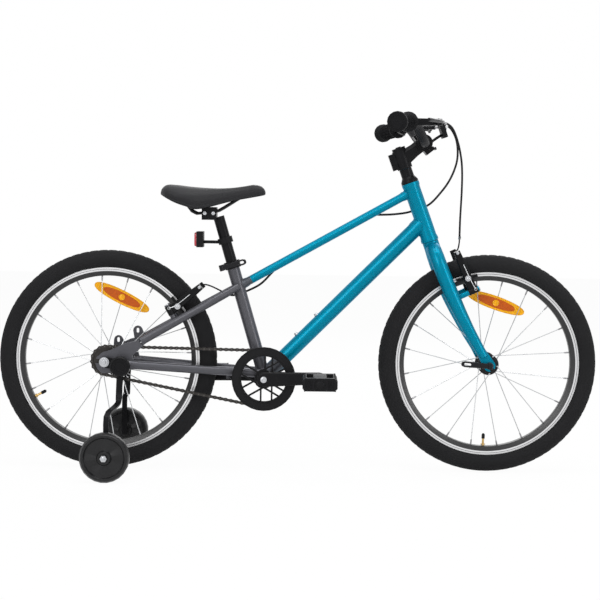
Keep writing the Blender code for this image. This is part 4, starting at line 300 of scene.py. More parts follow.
def lofted(bm, rings, closed=False):
    """Faces between rings of points, added to the bmesh. Its ends are filled unless it is closed."""
    rings = [[bm.verts.new(point) for point in ring] for ring in rings]
    pairs = list(zip(rings, rings[1:]))
    if closed:
        pairs.append((rings[-1], rings[0]))
    for low, high in pairs:
        for side in range(len(low)):
            after = (side + 1) % len(low)
            bm.faces.new((low[side], low[after], high[after], high[side]))
    if not closed:
        bm.faces.new(rings[0])
        bm.faces.new(rings[-1])


def round_z(place, radii, height=0.0, ahead=0.0):
    """Points round the Z of a place at this height, each with its own distance from that Z."""
    points = []
    for number, radius in enumerate(radii):
        angle = math.tau * (number + ahead) / len(radii)
        points.append(place @ Vector((radius * math.cos(angle), radius * math.sin(angle), height)))
    return points


def turned(bm, place, outline, steps, ahead=0.5, radius_at=None):
    """A closed outline of (radius, height) points, turned about the Z of its place."""
    rings = []
    for number, (radius, height) in enumerate(outline):
        radii = [radius_at(number, step, radius) if radius_at else radius for step in range(steps)]
        rings.append(round_z(place, radii, height, ahead))
    lofted(bm, rings, closed=True)


def side_on(origin, turn=0.0):
    """A place with X forward, Y up and Z towards the drive side, turned about Z."""
    square = Matrix(((1, 0, 0), (0, 0, -1), (0, 1, 0))).to_4x4()
    return Matrix.Translation(origin) @ square @ Matrix.Rotation(turn, 4, "Z")


tyre_black = grained("tyre_black", (0.015, 0.015, 0.016), 0.78, 0.0011, 0.06, 0.5, 0.35)

wall = []
for step in range(1, TYRE_WALL_STEPS + 1):
    turn = TYRE_WALL_TURN * step / TYRE_WALL_STEPS
    reach = TYRE_MIDDLE_RADIUS + (TREAD_RADIUS - TYRE_MIDDLE_RADIUS) * math.cos(turn)
    wall.append((reach, TYRE_HALF_WIDTH * math.sin(turn)))
wall += TYRE_BEAD
outline = [(radius, -width) for radius, width in reversed(wall)] + [(TREAD_RADIUS, 0.0)] + wall


def tread(number, step, radius):
    """The tyre's radius, lowered in the grooves between the tread blocks."""
    row = abs(number - len(wall))
    if row > TREAD_ROWS_EACH_SIDE:
        return radius
    if row % 2:
        return radius - TREAD_DEPTH / 2
    if (step + row) % TREAD_BLOCK_STEPS == 0:
        return radius - TREAD_DEPTH
    return radius


for end, axle in AXLES.items():
    bm = bmesh.new()
    turned(bm, side_on(axle), outline, TREAD_STEPS, radius_at=tread)
    piece = shaped(end + "_tyre_with_tread", bm, tyre_black, end + "_wheel", end + "_tyre", angle=60)


# The two rims: rolled black alloy, anodised, with the brake track on each side turned back to bare
# metal in fine rings.
RIM_OUTLINE = (
    (0.2118, 0.0119), (0.2115, 0.0125), (0.2078, 0.0125), (0.2075, 0.0122), (0.2071, 0.0122),
    (0.2068, 0.0125), (0.2031, 0.0125), (0.2022, 0.0122), (0.1960, 0.0098), (0.1928, 0.0082),
    (0.1921, 0.0068), (0.1920, 0.0),
)
RIM_STEPS = 180
TRACK_REACH = (0.2031, 0.2115)
TRACK_GROOVE_REACH = (0.2069, 0.2077)
RIM_BLACK = (0.014, 0.014, 0.015)
BARE_METAL = (0.72, 0.72, 0.73)


def mark_faces(piece, name, test):
    """A mark on every face for its material to read: one where the test holds, or else nought."""
    marks = piece.data.attributes.new(name, "FLOAT", "FACE")
    for face in piece.data.polygons:
        marks.data[face.index].value = 1.0 if test(face) else 0.0


rim_finish, shader = finish("black_rim_with_bare_track", RIM_BLACK, 0.32, 0.6)
tree = rim_finish.node_tree
on_track = node(tree, "ShaderNodeAttribute", attribute_name="bare_track").outputs["Fac"]
feed(shader, {"Base Color": mixed(tree, on_track, RIM_BLACK, BARE_METAL), "Metallic": on_track})
relief(shader, node(tree, "ShaderNodeTexNoise", {"Scale": 900}).outputs[0], 0.12, 0.0004)

outline = [(radius, -width) for radius, width in RIM_OUTLINE]
outline += [(radius, width) for radius, width in reversed(RIM_OUTLINE[:-1])]
for end, axle in AXLES.items():
    def is_track(face):
        """Whether a face of this rim is on its brake track, outside the groove in it."""
        reach = math.hypot(face.center.x - axle.x, face.center.z - axle.z)
        in_groove = TRACK_GROOVE_REACH[0] < reach < TRACK_GROOVE_REACH[1]
        return TRACK_REACH[0] < reach < TRACK_REACH[1] and not in_groove and abs(face.normal.y) > 0.9

    bm = bmesh.new()
    turned(bm, side_on(axle), outline, RIM_STEPS)
    piece = shaped(end + "_rim_with_track", bm, rim_finish, end + "_wheel", end + "_rim")
    mark_faces(piece, "bare_track", is_track)


# The hubs: black shells with drilled flanges. Twenty steel spokes in each, crossed twice, go from the
# flanges to steel nipples in the rim. A valve stands between two of them.
SPOKE_COUNT = 20
SPOKE_RADIUS = 0.0010
SPOKE_HOLES_RADIUS = 0.0208
SPOKE_END_REACH = 0.1930
SPOKE_END_SIDE = 0.002
SPOKE_LACING_TURN = math.radians(36)
SPOKE_TURNS = {"front": math.radians(8.2), "rear": math.radians(4.6)}
SPOKE_HEAD = (0.0019, 0.0013)
SPOKE_HEAD_SINK = 0.0006
DOME = ((1, 0), (1, 0.55), (0.86, 0.85), (0.5, 1))
NIPPLE_LENGTH = 0.0125
NIPPLE_BODY_LENGTH = 0.0095
NIPPLE_RADII = (0.0013, 0.0017, 0.0018)
FLANGE_MIDDLE = 0.0285
FLANGE_HALF_THICKNESS = 0.0018
HUB_STEPS = 48
HUB_SIDE = (
    (0.0118, 0), (0.0122, 0.018), (0.0140, 0.0235), (0.0222, 0.0268), (0.0240, 0.0278),
    (0.0240, 0.0292), (0.0222, 0.0302), (0.0130, 0.0312), (0.0100, 0.0340),
)
HUB_END_RADIUS = 0.0095
HUB_END_FROM = 0.036
HUB_BORE_RADIUS = 0.0055
HUB_HALF_LENGTHS = {"front": 0.0432, "rear": 0.0512}
FREEWHEEL_SIDE_LENGTH = 0.0344
VALVE_TURNS = {"front": math.radians(-91.5), "rear": math.radians(-152.0)}
VALVE_BARS = ((0.1925, 0.1665, 0.0026, 16, 0.0026), (0.1895, 0.1875, 0.0055, 6, 0.0055))
CAP_BARS = ((0.1755, 0.1665, 0.0038, 16, 0.0038), (0.1665, 0.1635, 0.0038, 16, 0.0020))
hub_black = grained("hub_black", (0.018, 0.018, 0.019), 0.35, 0.0006, 0.02, 0.4, 0.08)
spoke_steel = grained("spoke_steel", (0.52, 0.53, 0.54), 0.32, 0.0009, 0.03, 0.3, 0.1, metallic=1.0)
nipple_steel = grained("nipple_steel", (0.30, 0.30, 0.31), 0.4, 0.0006, 0.02, 0.3, 0.1, metallic=1.0)
valve_brass = grained("valve_brass", (0.62, 0.42, 0.16), 0.3, 0.0006, 0.01, 0.3, 0.1, metallic=1.0)
cap_black = grained("valve_cap_black", (0.012, 0.012, 0.013), 0.5, 0.0008, 0.02, 0.3, 0.2)


def facing(origin, way):
    """A place at a point, with its Z along the given way."""
    return Matrix.Translation(origin) @ Vector(way).to_track_quat("Z", "Y").to_matrix().to_4x4()


def rod(bm, first, second, radius, sides=8, end_radius=None):
    """A round bar between two points, added to the bmesh."""
    way = Vector(second) - Vector(first)
    place = facing(first, way)
    last = radius if end_radius is None else end_radius
    lofted(bm, [round_z(place, [radius] * sides), round_z(place, [last] * sides, way.length)])


def ball_head(bm, centre, axis, radius, height, sides=16):
    """A low domed head, such as a spoke's or a bolt's, added to the bmesh."""
    place = facing(centre, axis)
    lofted(bm, [round_z(place, [radius * wide] * sides, height * tall) for wide, tall in DOME])


for end, axle in AXLES.items():
    wheel = side_on(axle)
    body = end + "_wheel"
    length = HUB_HALF_LENGTHS[end]
    bm = bmesh.new()
    plain_end = [(HUB_END_RADIUS, HUB_END_FROM), (HUB_END_RADIUS, length), (HUB_BORE_RADIUS, length)]
    drive_end = plain_end
    if end == "rear":
        drive_end = [(HUB_END_RADIUS, FREEWHEEL_SIDE_LENGTH), (HUB_BORE_RADIUS, FREEWHEEL_SIDE_LENGTH)]
    left = [*HUB_SIDE[1:], *plain_end]
    outline = [(radius, -side) for radius, side in reversed(left)] + [*HUB_SIDE, *drive_end]
    turned(bm, wheel, outline, HUB_STEPS)
    shaped(end + "_hub_shell", bm, hub_black, body)

    spokes, nipples = bmesh.new(), bmesh.new()
    for number in range(SPOKE_COUNT):
        side = 1 if number % 2 else -1
        lead = 1 if number % 4 < 2 else -1
        rim_turn = SPOKE_TURNS[end] + math.tau * number / SPOKE_COUNT
        hub_turn = rim_turn + lead * SPOKE_LACING_TURN
        hub_side = side * (FLANGE_MIDDLE + lead * FLANGE_HALF_THICKNESS)
        at_hub = Vector((math.cos(hub_turn), math.sin(hub_turn), 0)) * SPOKE_HOLES_RADIUS
        at_rim = Vector((math.cos(rim_turn), math.sin(rim_turn), 0)) * SPOKE_END_REACH
        start = wheel @ (at_hub + Vector((0, 0, hub_side)))
        stop = wheel @ (at_rim + Vector((0, 0, side * SPOKE_END_SIDE)))
        along = (stop - start).normalized()
        rod(spokes, start, stop, SPOKE_RADIUS)
        through = (wheel.to_3x3() @ Vector((0, 0, -lead * side))).normalized()
        ball_head(spokes, start - through * SPOKE_HEAD_SINK, -through, *SPOKE_HEAD, 10)
        neck = stop - along * NIPPLE_BODY_LENGTH
        rod(nipples, stop - along * NIPPLE_LENGTH, neck, NIPPLE_RADII[0], 10, NIPPLE_RADII[1])
        rod(nipples, neck, stop, NIPPLE_RADII[2], 10)
    piece = shaped(end + "_spokes", spokes, spoke_steel, body)
    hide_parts(end + "_hub_and_spokes")
    shaped(end + "_nipples", nipples, nipple_steel, body)

for end, axle in AXLES.items():
    wheel = side_on(axle, VALVE_TURNS[end])
    for name, bars, material, slot in (
        ("_valve", VALVE_BARS, valve_brass, "steel"),
        ("_valve_cap", CAP_BARS, cap_black, "black_plastic"),
    ):
        bm = bmesh.new()
        for start, stop, radius, sides, end_radius in bars:
            rod(bm, wheel @ Vector((start, 0, 0)), wheel @ Vector((stop, 0, 0)), radius, sides, end_radius)
        shaped(end + name, bm, material, end + "_wheel")


# The frame: aluminium tubes, welded at every joint and painted in one coat of metallic colour
# under clear lacquer. The front is teal, and its rear triangle, seat tube and shell are dark grey.
BRACKET = Vector(joints["crank_turn"]["pos_m"])
TOP_TUBE = (Vector((-0.1386, 0, 0.422)), Vector((0.2597, 0, 0.6464)))
DOWN_TUBE = (BRACKET, Vector((0.2847, 0, 0.5777)))
TEAL = (0.0, 0.205, 0.318)
DARK_GREY = (0.088, 0.088, 0.098)
GREY_TOP_TUBE_BELOW = -0.109
GREY_DOWN_TUBE_BELOW = -0.033
PAINT_SEAM_HALF = 0.0006
FLAKE_SIZE = 0.0003
EDGE_ROUNDING = 0.0006
SHARP_ABOVE = math.radians(40)
FLAT_BELOW = math.radians(1)
JOINED_WITHIN = 0.00001


def flake_group():
    """A node group for metallic paint: small flakes in the colour, and a slightly uneven coat."""
    outputs = ("Colour", "Roughness", "Height")
    group, given, result = node_group("paint_flake", ("Shade", "Flake Size"), outputs)
    place = object_place(group)
    per_metre = reckoned(group, "DIVIDE", 1, given["Flake Size"])
    flakes = node(group, "ShaderNodeTexVoronoi", {"Vector": place, "Scale": per_metre}).outputs["Color"]
    coat = node(group, "ShaderNodeTexNoise", {"Vector": place, "Scale": 60, "Detail": 3}).outputs[0]
    sparkle, uneven = ranged(group, flakes, 0.985, 1.015), ranged(group, coat, 0.97, 1.03)
    colour = scaled(group, given["Shade"], reckoned(group, "MULTIPLY", sparkle, uneven))
    feed(result, {"Colour": colour, "Roughness": ranged(group, coat, 0.30, 0.40), "Height": coat})
    return group


paint_flake = flake_group()


def painted(name, colour, second=None, along=None, edge=0.0):
    """Metallic paint under lacquer. A second colour, where given, ends this far along a tube."""
    made, shader = finish(name, colour, 0.34, 0.45)
    tree = made.node_tree
    shade = (*colour, 1)
    if second:
        reach = {0: object_place(tree), 1: along}
        reach = node(tree, "ShaderNodeVectorMath", reach, operation="DOT_PRODUCT").outputs["Value"]
        feeds = {"Value": reach, "From Min": edge - PAINT_SEAM_HALF, "From Max": edge + PAINT_SEAM_HALF}
        shade = mixed(tree, node(tree, "ShaderNodeMapRange", feeds).outputs[0], second, colour)
    coat = {"Shade": shade, "Flake Size": FLAKE_SIZE}
    coat = node(tree, "ShaderNodeGroup", coat, node_tree=paint_flake).outputs
    feed(shader, {
        "Base Color": coat["Colour"],
        "Roughness": coat["Roughness"],
        "Specular IOR Level": 0.2,
        "Specular Tint": (*(part / max(colour) for part in colour), 1),
        "Coat Weight": 0.1,
        "Coat Roughness": 0.09,
    })
    relief(shader, coat["Height"], 0.02, 0.0006)
    return made


def dress(name, material, round_edges=EDGE_ROUNDING):
    """The finish of a solid whose shape stays: its material, smooth faces and softened edges."""
    made = nodes[name]
    if not made.material_slots:
        made.data.materials.append(material)
    for slot in made.material_slots:
        slot.material = material
    if "custom_normal" in made.data.attributes:
        made.data.attributes.remove(made.data.attributes["custom_normal"])
    made.data.shade_smooth()
    joined = made.modifiers.new("joined", "WELD")
    joined.merge_threshold = JOINED_WITHIN
    flat = made.modifiers.new("flat", "DECIMATE")
    flat.decimate_type = "DISSOLVE"
    flat.angle_limit = FLAT_BELOW
    if round_edges:
        soft = made.modifiers.new("soft", "BEVEL")
        soft.width = round_edges
        soft.segments = 2
        soft.limit_method = "ANGLE"
        soft.angle_limit = SHARP_ABOVE
        soft.harden_normals = True


def along_tube(tube, ahead):
    """The way of a tube, and how far along it the place with this X lies."""
    way = (tube[1] - tube[0]).normalized()
    return way, (tube[0] + way * ((ahead - tube[0].x) / way.x)).dot(way)


for name, tube, ahead in (
    ("top_tube", TOP_TUBE, GREY_TOP_TUBE_BELOW), ("down_tube", DOWN_TUBE, GREY_DOWN_TUBE_BELOW),
):
    dress(name, painted(name + "_paint", TEAL, DARK_GREY, *along_tube(tube, ahead)))
teal_paint = painted("teal_paint", TEAL)
grey_paint = painted("grey_paint", DARK_GREY)
dress("head_tube", teal_paint)
for name in ("seat_tube", "seat_stay_left", "seat_stay_right", "chain_stay_left", "chain_stay_right"):
    dress(name, grey_paint)


# The weld beads: a ring of small overlapping ripples of filler wherever a tube meets another,
# under the paint.
BEAD_RADIUS = 0.0013
BEAD_RIPPLES = 26
BEAD_STEPS = 130
BEAD_SIDES = 8
BEAD_LEAST = 0.78
BEAD_SWELL = 0.3
STEERING_FOOT = Vector(joints["steering_turn"]["pos_m"])
STEERING_UP = Vector(joints["steering_turn"]["axis"])
SEAT_TUBE_TOP = Vector((-0.15425, 0, 0.4748))
HEAD_TUBE_LINE = (STEERING_FOOT, STEERING_UP, 0.0190)
SEAT_TUBE_LINE = (BRACKET, joints["seat_height"]["axis"], 0.0145)
SHELL_LINE = (BRACKET, (0, 1, 0), 0.0200)
WELDS = (
    ("top_tube_front", *TOP_TUBE, 0.0107, HEAD_TUBE_LINE, "teal_paint"),
    ("top_tube_back", *reversed(TOP_TUBE), 0.0107, SEAT_TUBE_LINE, "grey_paint"),
    ("down_tube_top", *DOWN_TUBE, 0.0184, HEAD_TUBE_LINE, "teal_paint"),
    ("down_tube_foot", *reversed(DOWN_TUBE), 0.0175, SHELL_LINE, "grey_paint"),
    ("seat_tube_foot", SEAT_TUBE_TOP, BRACKET, 0.0145, SHELL_LINE, "grey_paint"),
)


def weld_line(start, end, radius, foot, direction, big_radius):
    """The closed line on which a tube from start to end meets a bigger tube."""
    direction = Vector(direction).normalized()
    way = (end - start).normalized()
    move = way - direction * way.dot(direction)
    points = []
    for begin in round_z(facing(start, way), [radius] * BEAD_STEPS):
        gap = (begin - foot) - direction * (begin - foot).dot(direction)
        a, b, c = move.dot(move), 2 * gap.dot(move), gap.dot(gap) - big_radius**2
        root = math.sqrt(max(b * b - 4 * a * c, 0))
        points.append(begin + way * ((-b - root) / (2 * a)))
    return points


def ring_about(point, across, other, size, sides):
    """Points of a circle about a point, in the plane of two ways at right angles."""
    angles = [math.tau * side / sides for side in range(sides)]
    return [point + (across * math.cos(angle) + other * math.sin(angle)) * size for angle in angles]


def bead(bm, points):
    """A rippled bead along a closed line, added to the bmesh."""
    middle = sum(points, Vector()) / len(points)
    rings = []
    for number, point in enumerate(points):
        along = (points[(number + 1) % len(points)] - points[number - 1]).normalized()
        out = (point - middle).normalized()
        out = (out - along * out.dot(along)).normalized()
        swell = abs(math.sin(math.pi * BEAD_RIPPLES * number / len(points)))
        size = BEAD_RADIUS * (BEAD_LEAST + BEAD_SWELL * swell)
        rings.append(ring_about(point, out, along.cross(out), size, BEAD_SIDES))
    lofted(bm, rings, closed=True)


for name, start, end, radius, line, slot in WELDS:
    bm = bmesh.new()
    bead(bm, weld_line(start, end, radius, *line))
    paint = {"teal_paint": teal_paint, "grey_paint": grey_paint}[slot]
    shaped("weld_" + name, bm, paint, "frame", angle=80)


# Two bottle cage bolts stand on the down tube: small steel socket screws in riveted nuts.
BOTTLE_BOLTS = ((0.0392, 0.3608), (-0.0069, 0.3165))
DOWN_TUBE_OUT = 0.0170
RIVET = (0.0052, 0.0022, 14)
RIVET_SINK = 0.0002
BOTTLE_SCREW = (0.0040, 0.0038)
SCREW_HEAD = ((1, 0), (1, 0.8), (0.86, 1), (0.55, 1), (0.5, 0.35))
SOCKET_BELOW = 0.6
SOCKET_FLAT = 0.93
SATIN_BLACK = (0.009, 0.009, 0.010)
steel = grained("bright_steel", (0.52, 0.53, 0.55), 0.28, 0.0006, 0.02, 0.3, 0.08, metallic=1.0)
black_metal = grained("satin_black_metal", SATIN_BLACK, 0.34, 0.0007, 0.03, 0.45, 0.07, metallic=0.15)
plastic = grained("moulded_black", (0.010, 0.010, 0.011), 0.48, 0.0008, 0.03, 0.4, 0.14)


def socket_screw(bm, centre, axis, radius, height):
    """A round screw head with a hexagonal socket, added to the bmesh."""
    place = facing(centre, Vector(axis).normalized())
    rings = []
    for wide, tall in SCREW_HEAD:
        radii = [radius * wide] * 12
        if wide < SOCKET_BELOW:
            radii[::2] = [radius * wide * SOCKET_FLAT] * 6
        rings.append(round_z(place, radii, height * tall))
    lofted(bm, rings)


def washered_screw(bm, spot, way, washer, sink, screw):
    """A socket screw sunk a little in a round washer or rivet, added to the bmesh."""
    radius, height, sides = washer
    rod(bm, spot, spot + way * height, radius, sides)
    socket_screw(bm, spot + way * (height - sink), way, *screw)


down_way = (DOWN_TUBE[1] - DOWN_TUBE[0]).normalized()
out = Vector((-down_way.z, 0, down_way.x))
bm = bmesh.new()
for ahead, height in BOTTLE_BOLTS:
    along = (Vector((ahead, 0, height)) - DOWN_TUBE[0]).dot(down_way)
    spot = DOWN_TUBE[0] + down_way * along + out * DOWN_TUBE_OUT
    washered_screw(bm, spot, out, RIVET, RIVET_SINK, BOTTLE_SCREW)
shaped("bottle_bolts", bm, steel, "frame")


# The front end: a one-piece painted fork, the bearings of the headset and their black cover.
dress("fork", teal_paint, round_edges=0.0008)
for name in ("headset_upper_bearing", "headset_lower_bearing"):
    dress(name, steel, round_edges=0.0003)
dress("headset_spacers", black_metal)


# The stem and its faceplate: forged black aluminium. Four small socket screws hold the faceplate and
# one closes the stem's top. The riser bar is drawn aluminium tube with a satin black finish.
STEERING_AHEAD = Vector((STEERING_UP.z, 0, -STEERING_UP.x))
BAR_AHEAD = 0.0589
BAR_UP = 0.5281
FACEPLATE_FRONT = 0.0195
FACEPLATE_SCREWS_UP = 0.0205
FACEPLATE_SCREWS_SIDE = 0.0135
FACEPLATE_SCREW = (0.0036, 0.0030)
STEM_TOP = 0.5366
STEM_TOP_SCREW = (0.0062, 0.0022)
bar_black = grained("bar_black", (0.022, 0.022, 0.024), 0.4, 0.0005, 0.05, 0.35, 0.05, metallic=0.35)
dress("stem", black_metal, round_edges=0.0012)
dress("stem_faceplate", black_metal, round_edges=0.0010)
dress("handlebar", bar_black, round_edges=0)


def on_steering(ahead, side, along):
    """The point this far up the steering axis, ahead of it and to its left."""
    return STEERING_FOOT + STEERING_AHEAD * ahead + Vector((0, side, 0)) + STEERING_UP * along


dark_screw = grained("dark_screw", (0.06, 0.06, 0.062), 0.35, 0.0005, 0.01, 0.3, 0.08, metallic=0.9)
bm = bmesh.new()
for up in (-FACEPLATE_SCREWS_UP, FACEPLATE_SCREWS_UP):
    for side in (-FACEPLATE_SCREWS_SIDE, FACEPLATE_SCREWS_SIDE):
        spot = on_steering(BAR_AHEAD + FACEPLATE_FRONT, side, BAR_UP + up)
        socket_screw(bm, spot, STEERING_AHEAD, *FACEPLATE_SCREW)
socket_screw(bm, on_steering(0, 0, STEM_TOP), STEERING_UP, *STEM_TOP_SCREW)
shaped("stem_screws", bm, dark_screw, "steering")


# The grips: soft black rubber pushed onto the bar, with shallow ribs along the hand and a closed,
# ringed cap at the outer end.
SIDES = ((-1, "right"), (1, "left"))
BAR_END = Vector((0.203157, -0.28, 0.790211))
BAR_WAY = Vector((0.286745, 1, 0.055))
GRIP_RIBS = 16
GRIP_RIBS_FROM = 0.186
GRIP_RIB_SPACING = 0.0045
GRIP_RIB = (0.0180, 0.0007)
GRIP_CAP = 0.0028
GRIP_CAP_RINGS = (0.0195, 0.0145)
GRIP_CAP_RING_THICKNESS = 0.0008
GRIP_CAP_DOME = (0.0016, 0.0008, 12)
GRIP_CAP_DOME_SINK = 0.0004
grip_rubber = grained("grip_rubber", (0.009, 0.009, 0.010), 0.72, 0.0006, 0.03, 0.45, 0.4)


def on_bar(out, side):
    """A point on the centre line of a straight end of the bar and the way outwards there."""
    spot = BAR_END - (BAR_END.y + out) * BAR_WAY
    way = -BAR_WAY.normalized()
    if side > 0:
        spot.y, way.y = -spot.y, -way.y
    return spot, way


def ring_round(bm, centre, axis, radius, thickness, steps=40, sides=8):
    """A thin round ring about an axis, added to the bmesh."""
    leans = [math.tau * side / sides for side in range(sides)]
    outline = [(radius + thickness * math.cos(lean), thickness * math.sin(lean)) for lean in leans]
    turned(bm, facing(centre, axis), outline, steps, ahead=0)


for side, name in SIDES:
    dress("grip_" + name, grip_rubber, round_edges=0.0009)
    bm = bmesh.new()
    for number in range(GRIP_RIBS):
        ring_round(bm, *on_bar(GRIP_RIBS_FROM + number * GRIP_RIB_SPACING, side), *GRIP_RIB)
    spot, way = on_bar(-BAR_END.y, side)
    cap = spot + way * GRIP_CAP
    for radius in GRIP_CAP_RINGS:
        ring_round(bm, cap, way, radius, GRIP_CAP_RING_THICKNESS)
    ball_head(bm, cap - way * GRIP_CAP_DOME_SINK, way, *GRIP_CAP_DOME)
    shaped("grip_ribs_" + name, bm, grip_rubber, "steering", angle=60)


# The brake levers: cast black perches clamped to the bar and forged levers on steel pins, with a
# knurled cable adjuster in each.
ADJUSTER_FOOT = (0.282441, 0.129, 0.797746)
ADJUSTER_TIP = (0.316441, 0.101, 0.797746)
KNURL_RINGS = 5
KNURL_RING = (0.0050, 0.0005, 24, 6)
KNURL_FROM = 0.55
KNURL_SPACING = 0.1
PERCH_SCREW_OUT = 0.143
PERCH_SCREW_OFFSET = Vector((0.004, 0, -0.0150))
PERCH_SCREW = (0.0034, 0.0030)
lever_black = grained("lever_black", (0.02, 0.02, 0.022), 0.26, 0.0006, 0.02, 0.35, 0.06, metallic=0.5)


def mirrored(place, side):
    """A place on the rider's left, or its mirror image where the side is -1."""
    return Vector((place[0], side * place[1], place[2]))


for side, name in SIDES:
    dress("brake_perch_" + name, black_metal, round_edges=0.0008)
    dress("brake_lever_" + name, lever_black, round_edges=0.0007)
    bm = bmesh.new()
    foot, tip = mirrored(ADJUSTER_FOOT, side), mirrored(ADJUSTER_TIP, side)
    for number in range(KNURL_RINGS):
        spot = foot.lerp(tip, KNURL_FROM + number * KNURL_SPACING)
        ring_round(bm, spot, (tip - foot).normalized(), *KNURL_RING)
    spot = on_bar(PERCH_SCREW_OUT, side)[0] + PERCH_SCREW_OFFSET
    socket_screw(bm, spot, (0, 0, -1), *PERCH_SCREW)
    shaped("lever_fittings_" + name, bm, dark_screw, "steering")


# The front reflector: a clear prismatic lens in a black tray, on a bracket round the bar.
FRONT_LENS_PLACE = (0.3250, 0, 0.7865)
FRONT_LENS_TILT = math.radians(18)
FRONT_LENS_OUT = 0.0052
FRONT_LENS_SIZE = (0.0235, 0.0165, 0.0022)
PRISM_SIZE = 0.0026
LENS_LAYERS = ((0, 1), (0.6, 1), (0.9, 0.95), (1, 0.86))
LENS_STEPS = 40
CORNER_POWER = 0.28
dress("front_reflector", plastic)


def prisms_of(tree, scale, randomness):
    """The distance to the middle of each small prism of a lens."""
    feeds = {"Vector": object_place(tree), "Scale": scale, "Randomness": randomness}
    return node(tree, "ShaderNodeTexVoronoi", feeds).outputs["Distance"]


def lens_with_painted_prism_light(name, colour):
    """Clear coloured plastic with small prisms moulded in its back, with painted highlight and shade:
    lighter at each prism's middle, darker towards its edges.
    """
    made, shader = finish(name, colour, 0.15)
    tree = made.node_tree
    prisms = prisms_of(tree, 1 / PRISM_SIZE, 0.15)
    # Painted highlight and shade in the prisms: the colour is lighter at each prism's middle and darker
    # towards its edges.
    shade = scaled(tree, colour, ranged(tree, prisms, 1.12, 0.72))
    feed(shader, {"Base Color": shade, "Coat Weight": 0.8, "Coat Roughness": 0.04})
    relief(shader, prisms, 0.25, PRISM_SIZE * 0.4)
    return made


def squared(value, power):
    """A sine or a cosine that stays near one for longer, for a round form with fuller corners."""
    return math.copysign(abs(value) ** power, value)


def lens_plate(name, place, size, material, body):
    """A pillow-edged lens, with X out of its face, Y across and Z up in its place."""
    half_width, half_height, thickness = size
    bm = bmesh.new()
    rings = []
    for out, share in LENS_LAYERS:
        ring = []
        inset = (1 - share) * half_height
        for step in range(LENS_STEPS):
            angle = math.tau * step / LENS_STEPS
            across = squared(math.cos(angle), CORNER_POWER) * (half_width - inset)
            up = squared(math.sin(angle), CORNER_POWER) * (half_height - inset)
            ring.append(place @ Vector((out * thickness, across, up)))
        rings.append(ring)
    lofted(bm, rings)
    shaped(name, bm, material, body)


clear_lens = lens_with_painted_prism_light("clear_lens", (0.72, 0.73, 0.74))
face = Matrix.Translation(FRONT_LENS_PLACE) @ Matrix.Rotation(FRONT_LENS_TILT, 4, "Y")
face @= Matrix.Translation((FRONT_LENS_OUT, 0, 0))
lens_plate("front_lens", face, FRONT_LENS_SIZE, clear_lens, "steering")


# The brake cables: steel wire in black plastic housing with a brushed ferrule at each end. The rear
# one leaves the lever in a loop, runs inside the top tube and comes out near the seat tube.
HOUSING_RADIUS = 0.0025
HOUSING_STEPS = 170
CURVE_STEPS = 16
FERRULE_SIDES = 14
REAR_HOUSING = (
    (0.317522, 0.10011, 0.797746), (0.324160, 0.094643, 0.797746), (0.3390, 0.0880, 0.8020),
    (0.3530, 0.0875, 0.7940), (0.3650, 0.0840, 0.7700), (0.3687, 0.0780, 0.7406), (0.3649, 0.0700, 0.7109),
    (0.3502, 0.0600, 0.6755), (0.3280, 0.0510, 0.6441), (0.2981, 0.0420, 0.6146), (0.2547, 0.0330, 0.5986),
    (0.2195, 0.0225, 0.5930), (0.1900, 0.0115, 0.5915), (0.1650, 0.0035, 0.5905), (0.1400, 0, 0.5790),
    (0.0500, 0, 0.5285), (-0.0200, 0, 0.4890), (-0.0450, 0, 0.4720), (-0.0629, 0.0030, 0.4540),
    (-0.0882, 0.0110, 0.4279), (-0.1210, 0.0210, 0.4100), (-0.1400, 0.0215, 0.4030),
    (-0.1520, 0.0180, 0.4005), (-0.1640, 0.0125, 0.4030), (-0.1759, 0.0090, 0.4090),
)
FERRULES = (
    ("front_ferrule", (0.3713, 0.0172, 0.5440), (0.3708, 0.0202, 0.5376), 0.0033, "steering"),
    ("rear_ferrule", (-0.1700, 0.0105, 0.4060), (-0.1764, 0.0088, 0.4092), 0.0033, "frame"),
    ("lever_ferrule_right", (0.3176, -0.1001, 0.7978), (0.3236, -0.0951, 0.7978), 0.0034, "steering"),
    ("lever_ferrule_left", (0.3176, 0.1001, 0.7978), (0.3236, 0.0951, 0.7978), 0.0034, "steering"),
)
housing_black = grained("housing_black", (0.016, 0.016, 0.017), 0.4, 0.0005, 0.02, 0.3, 0.08)
ferrule = grained("ferrule_steel", (0.42, 0.42, 0.43), 0.35, 0.0005, 0.01, 0.3, 0.1, metallic=1.0)


def on_curve(values, place, share):
    """The value at this share of the way from one place to the next, on a smooth curve through all."""
    last = len(values) - 1
    a, b, c, d = (values[min(max(place + shift, 0), last)] for shift in (-1, 0, 1, 2))
    bend = (2 * a - 5 * b + 4 * c - d) * share**2 + (3 * b - a - 3 * c + d) * share**3
    return (2 * b + (c - a) * share + bend) / 2


def even_steps(line, count):
    """This many points at even steps along a line of points, its two ends among them."""
    reach = [0.0]
    for first, second in zip(line, line[1:]):
        reach.append(reach[-1] + (second - first).length)
    points, place = [], 0
    for step in range(count):
        target = reach[-1] * step / (count - 1)
        while place < len(line) - 2 and reach[place + 1] < target:
            place += 1
        share = (target - reach[place]) / (reach[place + 1] - reach[place])
        points.append(line[place].lerp(line[place + 1], min(share, 1)))
    return points


def smooth_path(points, count):
    """Points read at even steps from a smooth curve through the given points."""
    points = [Vector(point) for point in points]
    fine = []
    for place in range(len(points) - 1):
        fine += [on_curve(points, place, step / CURVE_STEPS) for step in range(CURVE_STEPS)]
    return even_steps([*fine, points[-1]], count)


def tube(bm, points, radius, sides=10):
    """A round tube along points, added to the bmesh."""
    across = (points[1] - points[0]).orthogonal().normalized()
    rings = []
    for number, point in enumerate(points):
        before, after = points[max(number - 1, 0)], points[min(number + 1, len(points) - 1)]
        along = (after - before).normalized()
        across = (across - along * across.dot(along)).normalized()
        rings.append(ring_about(point, across, along.cross(across), radius, sides))
    lofted(bm, rings)


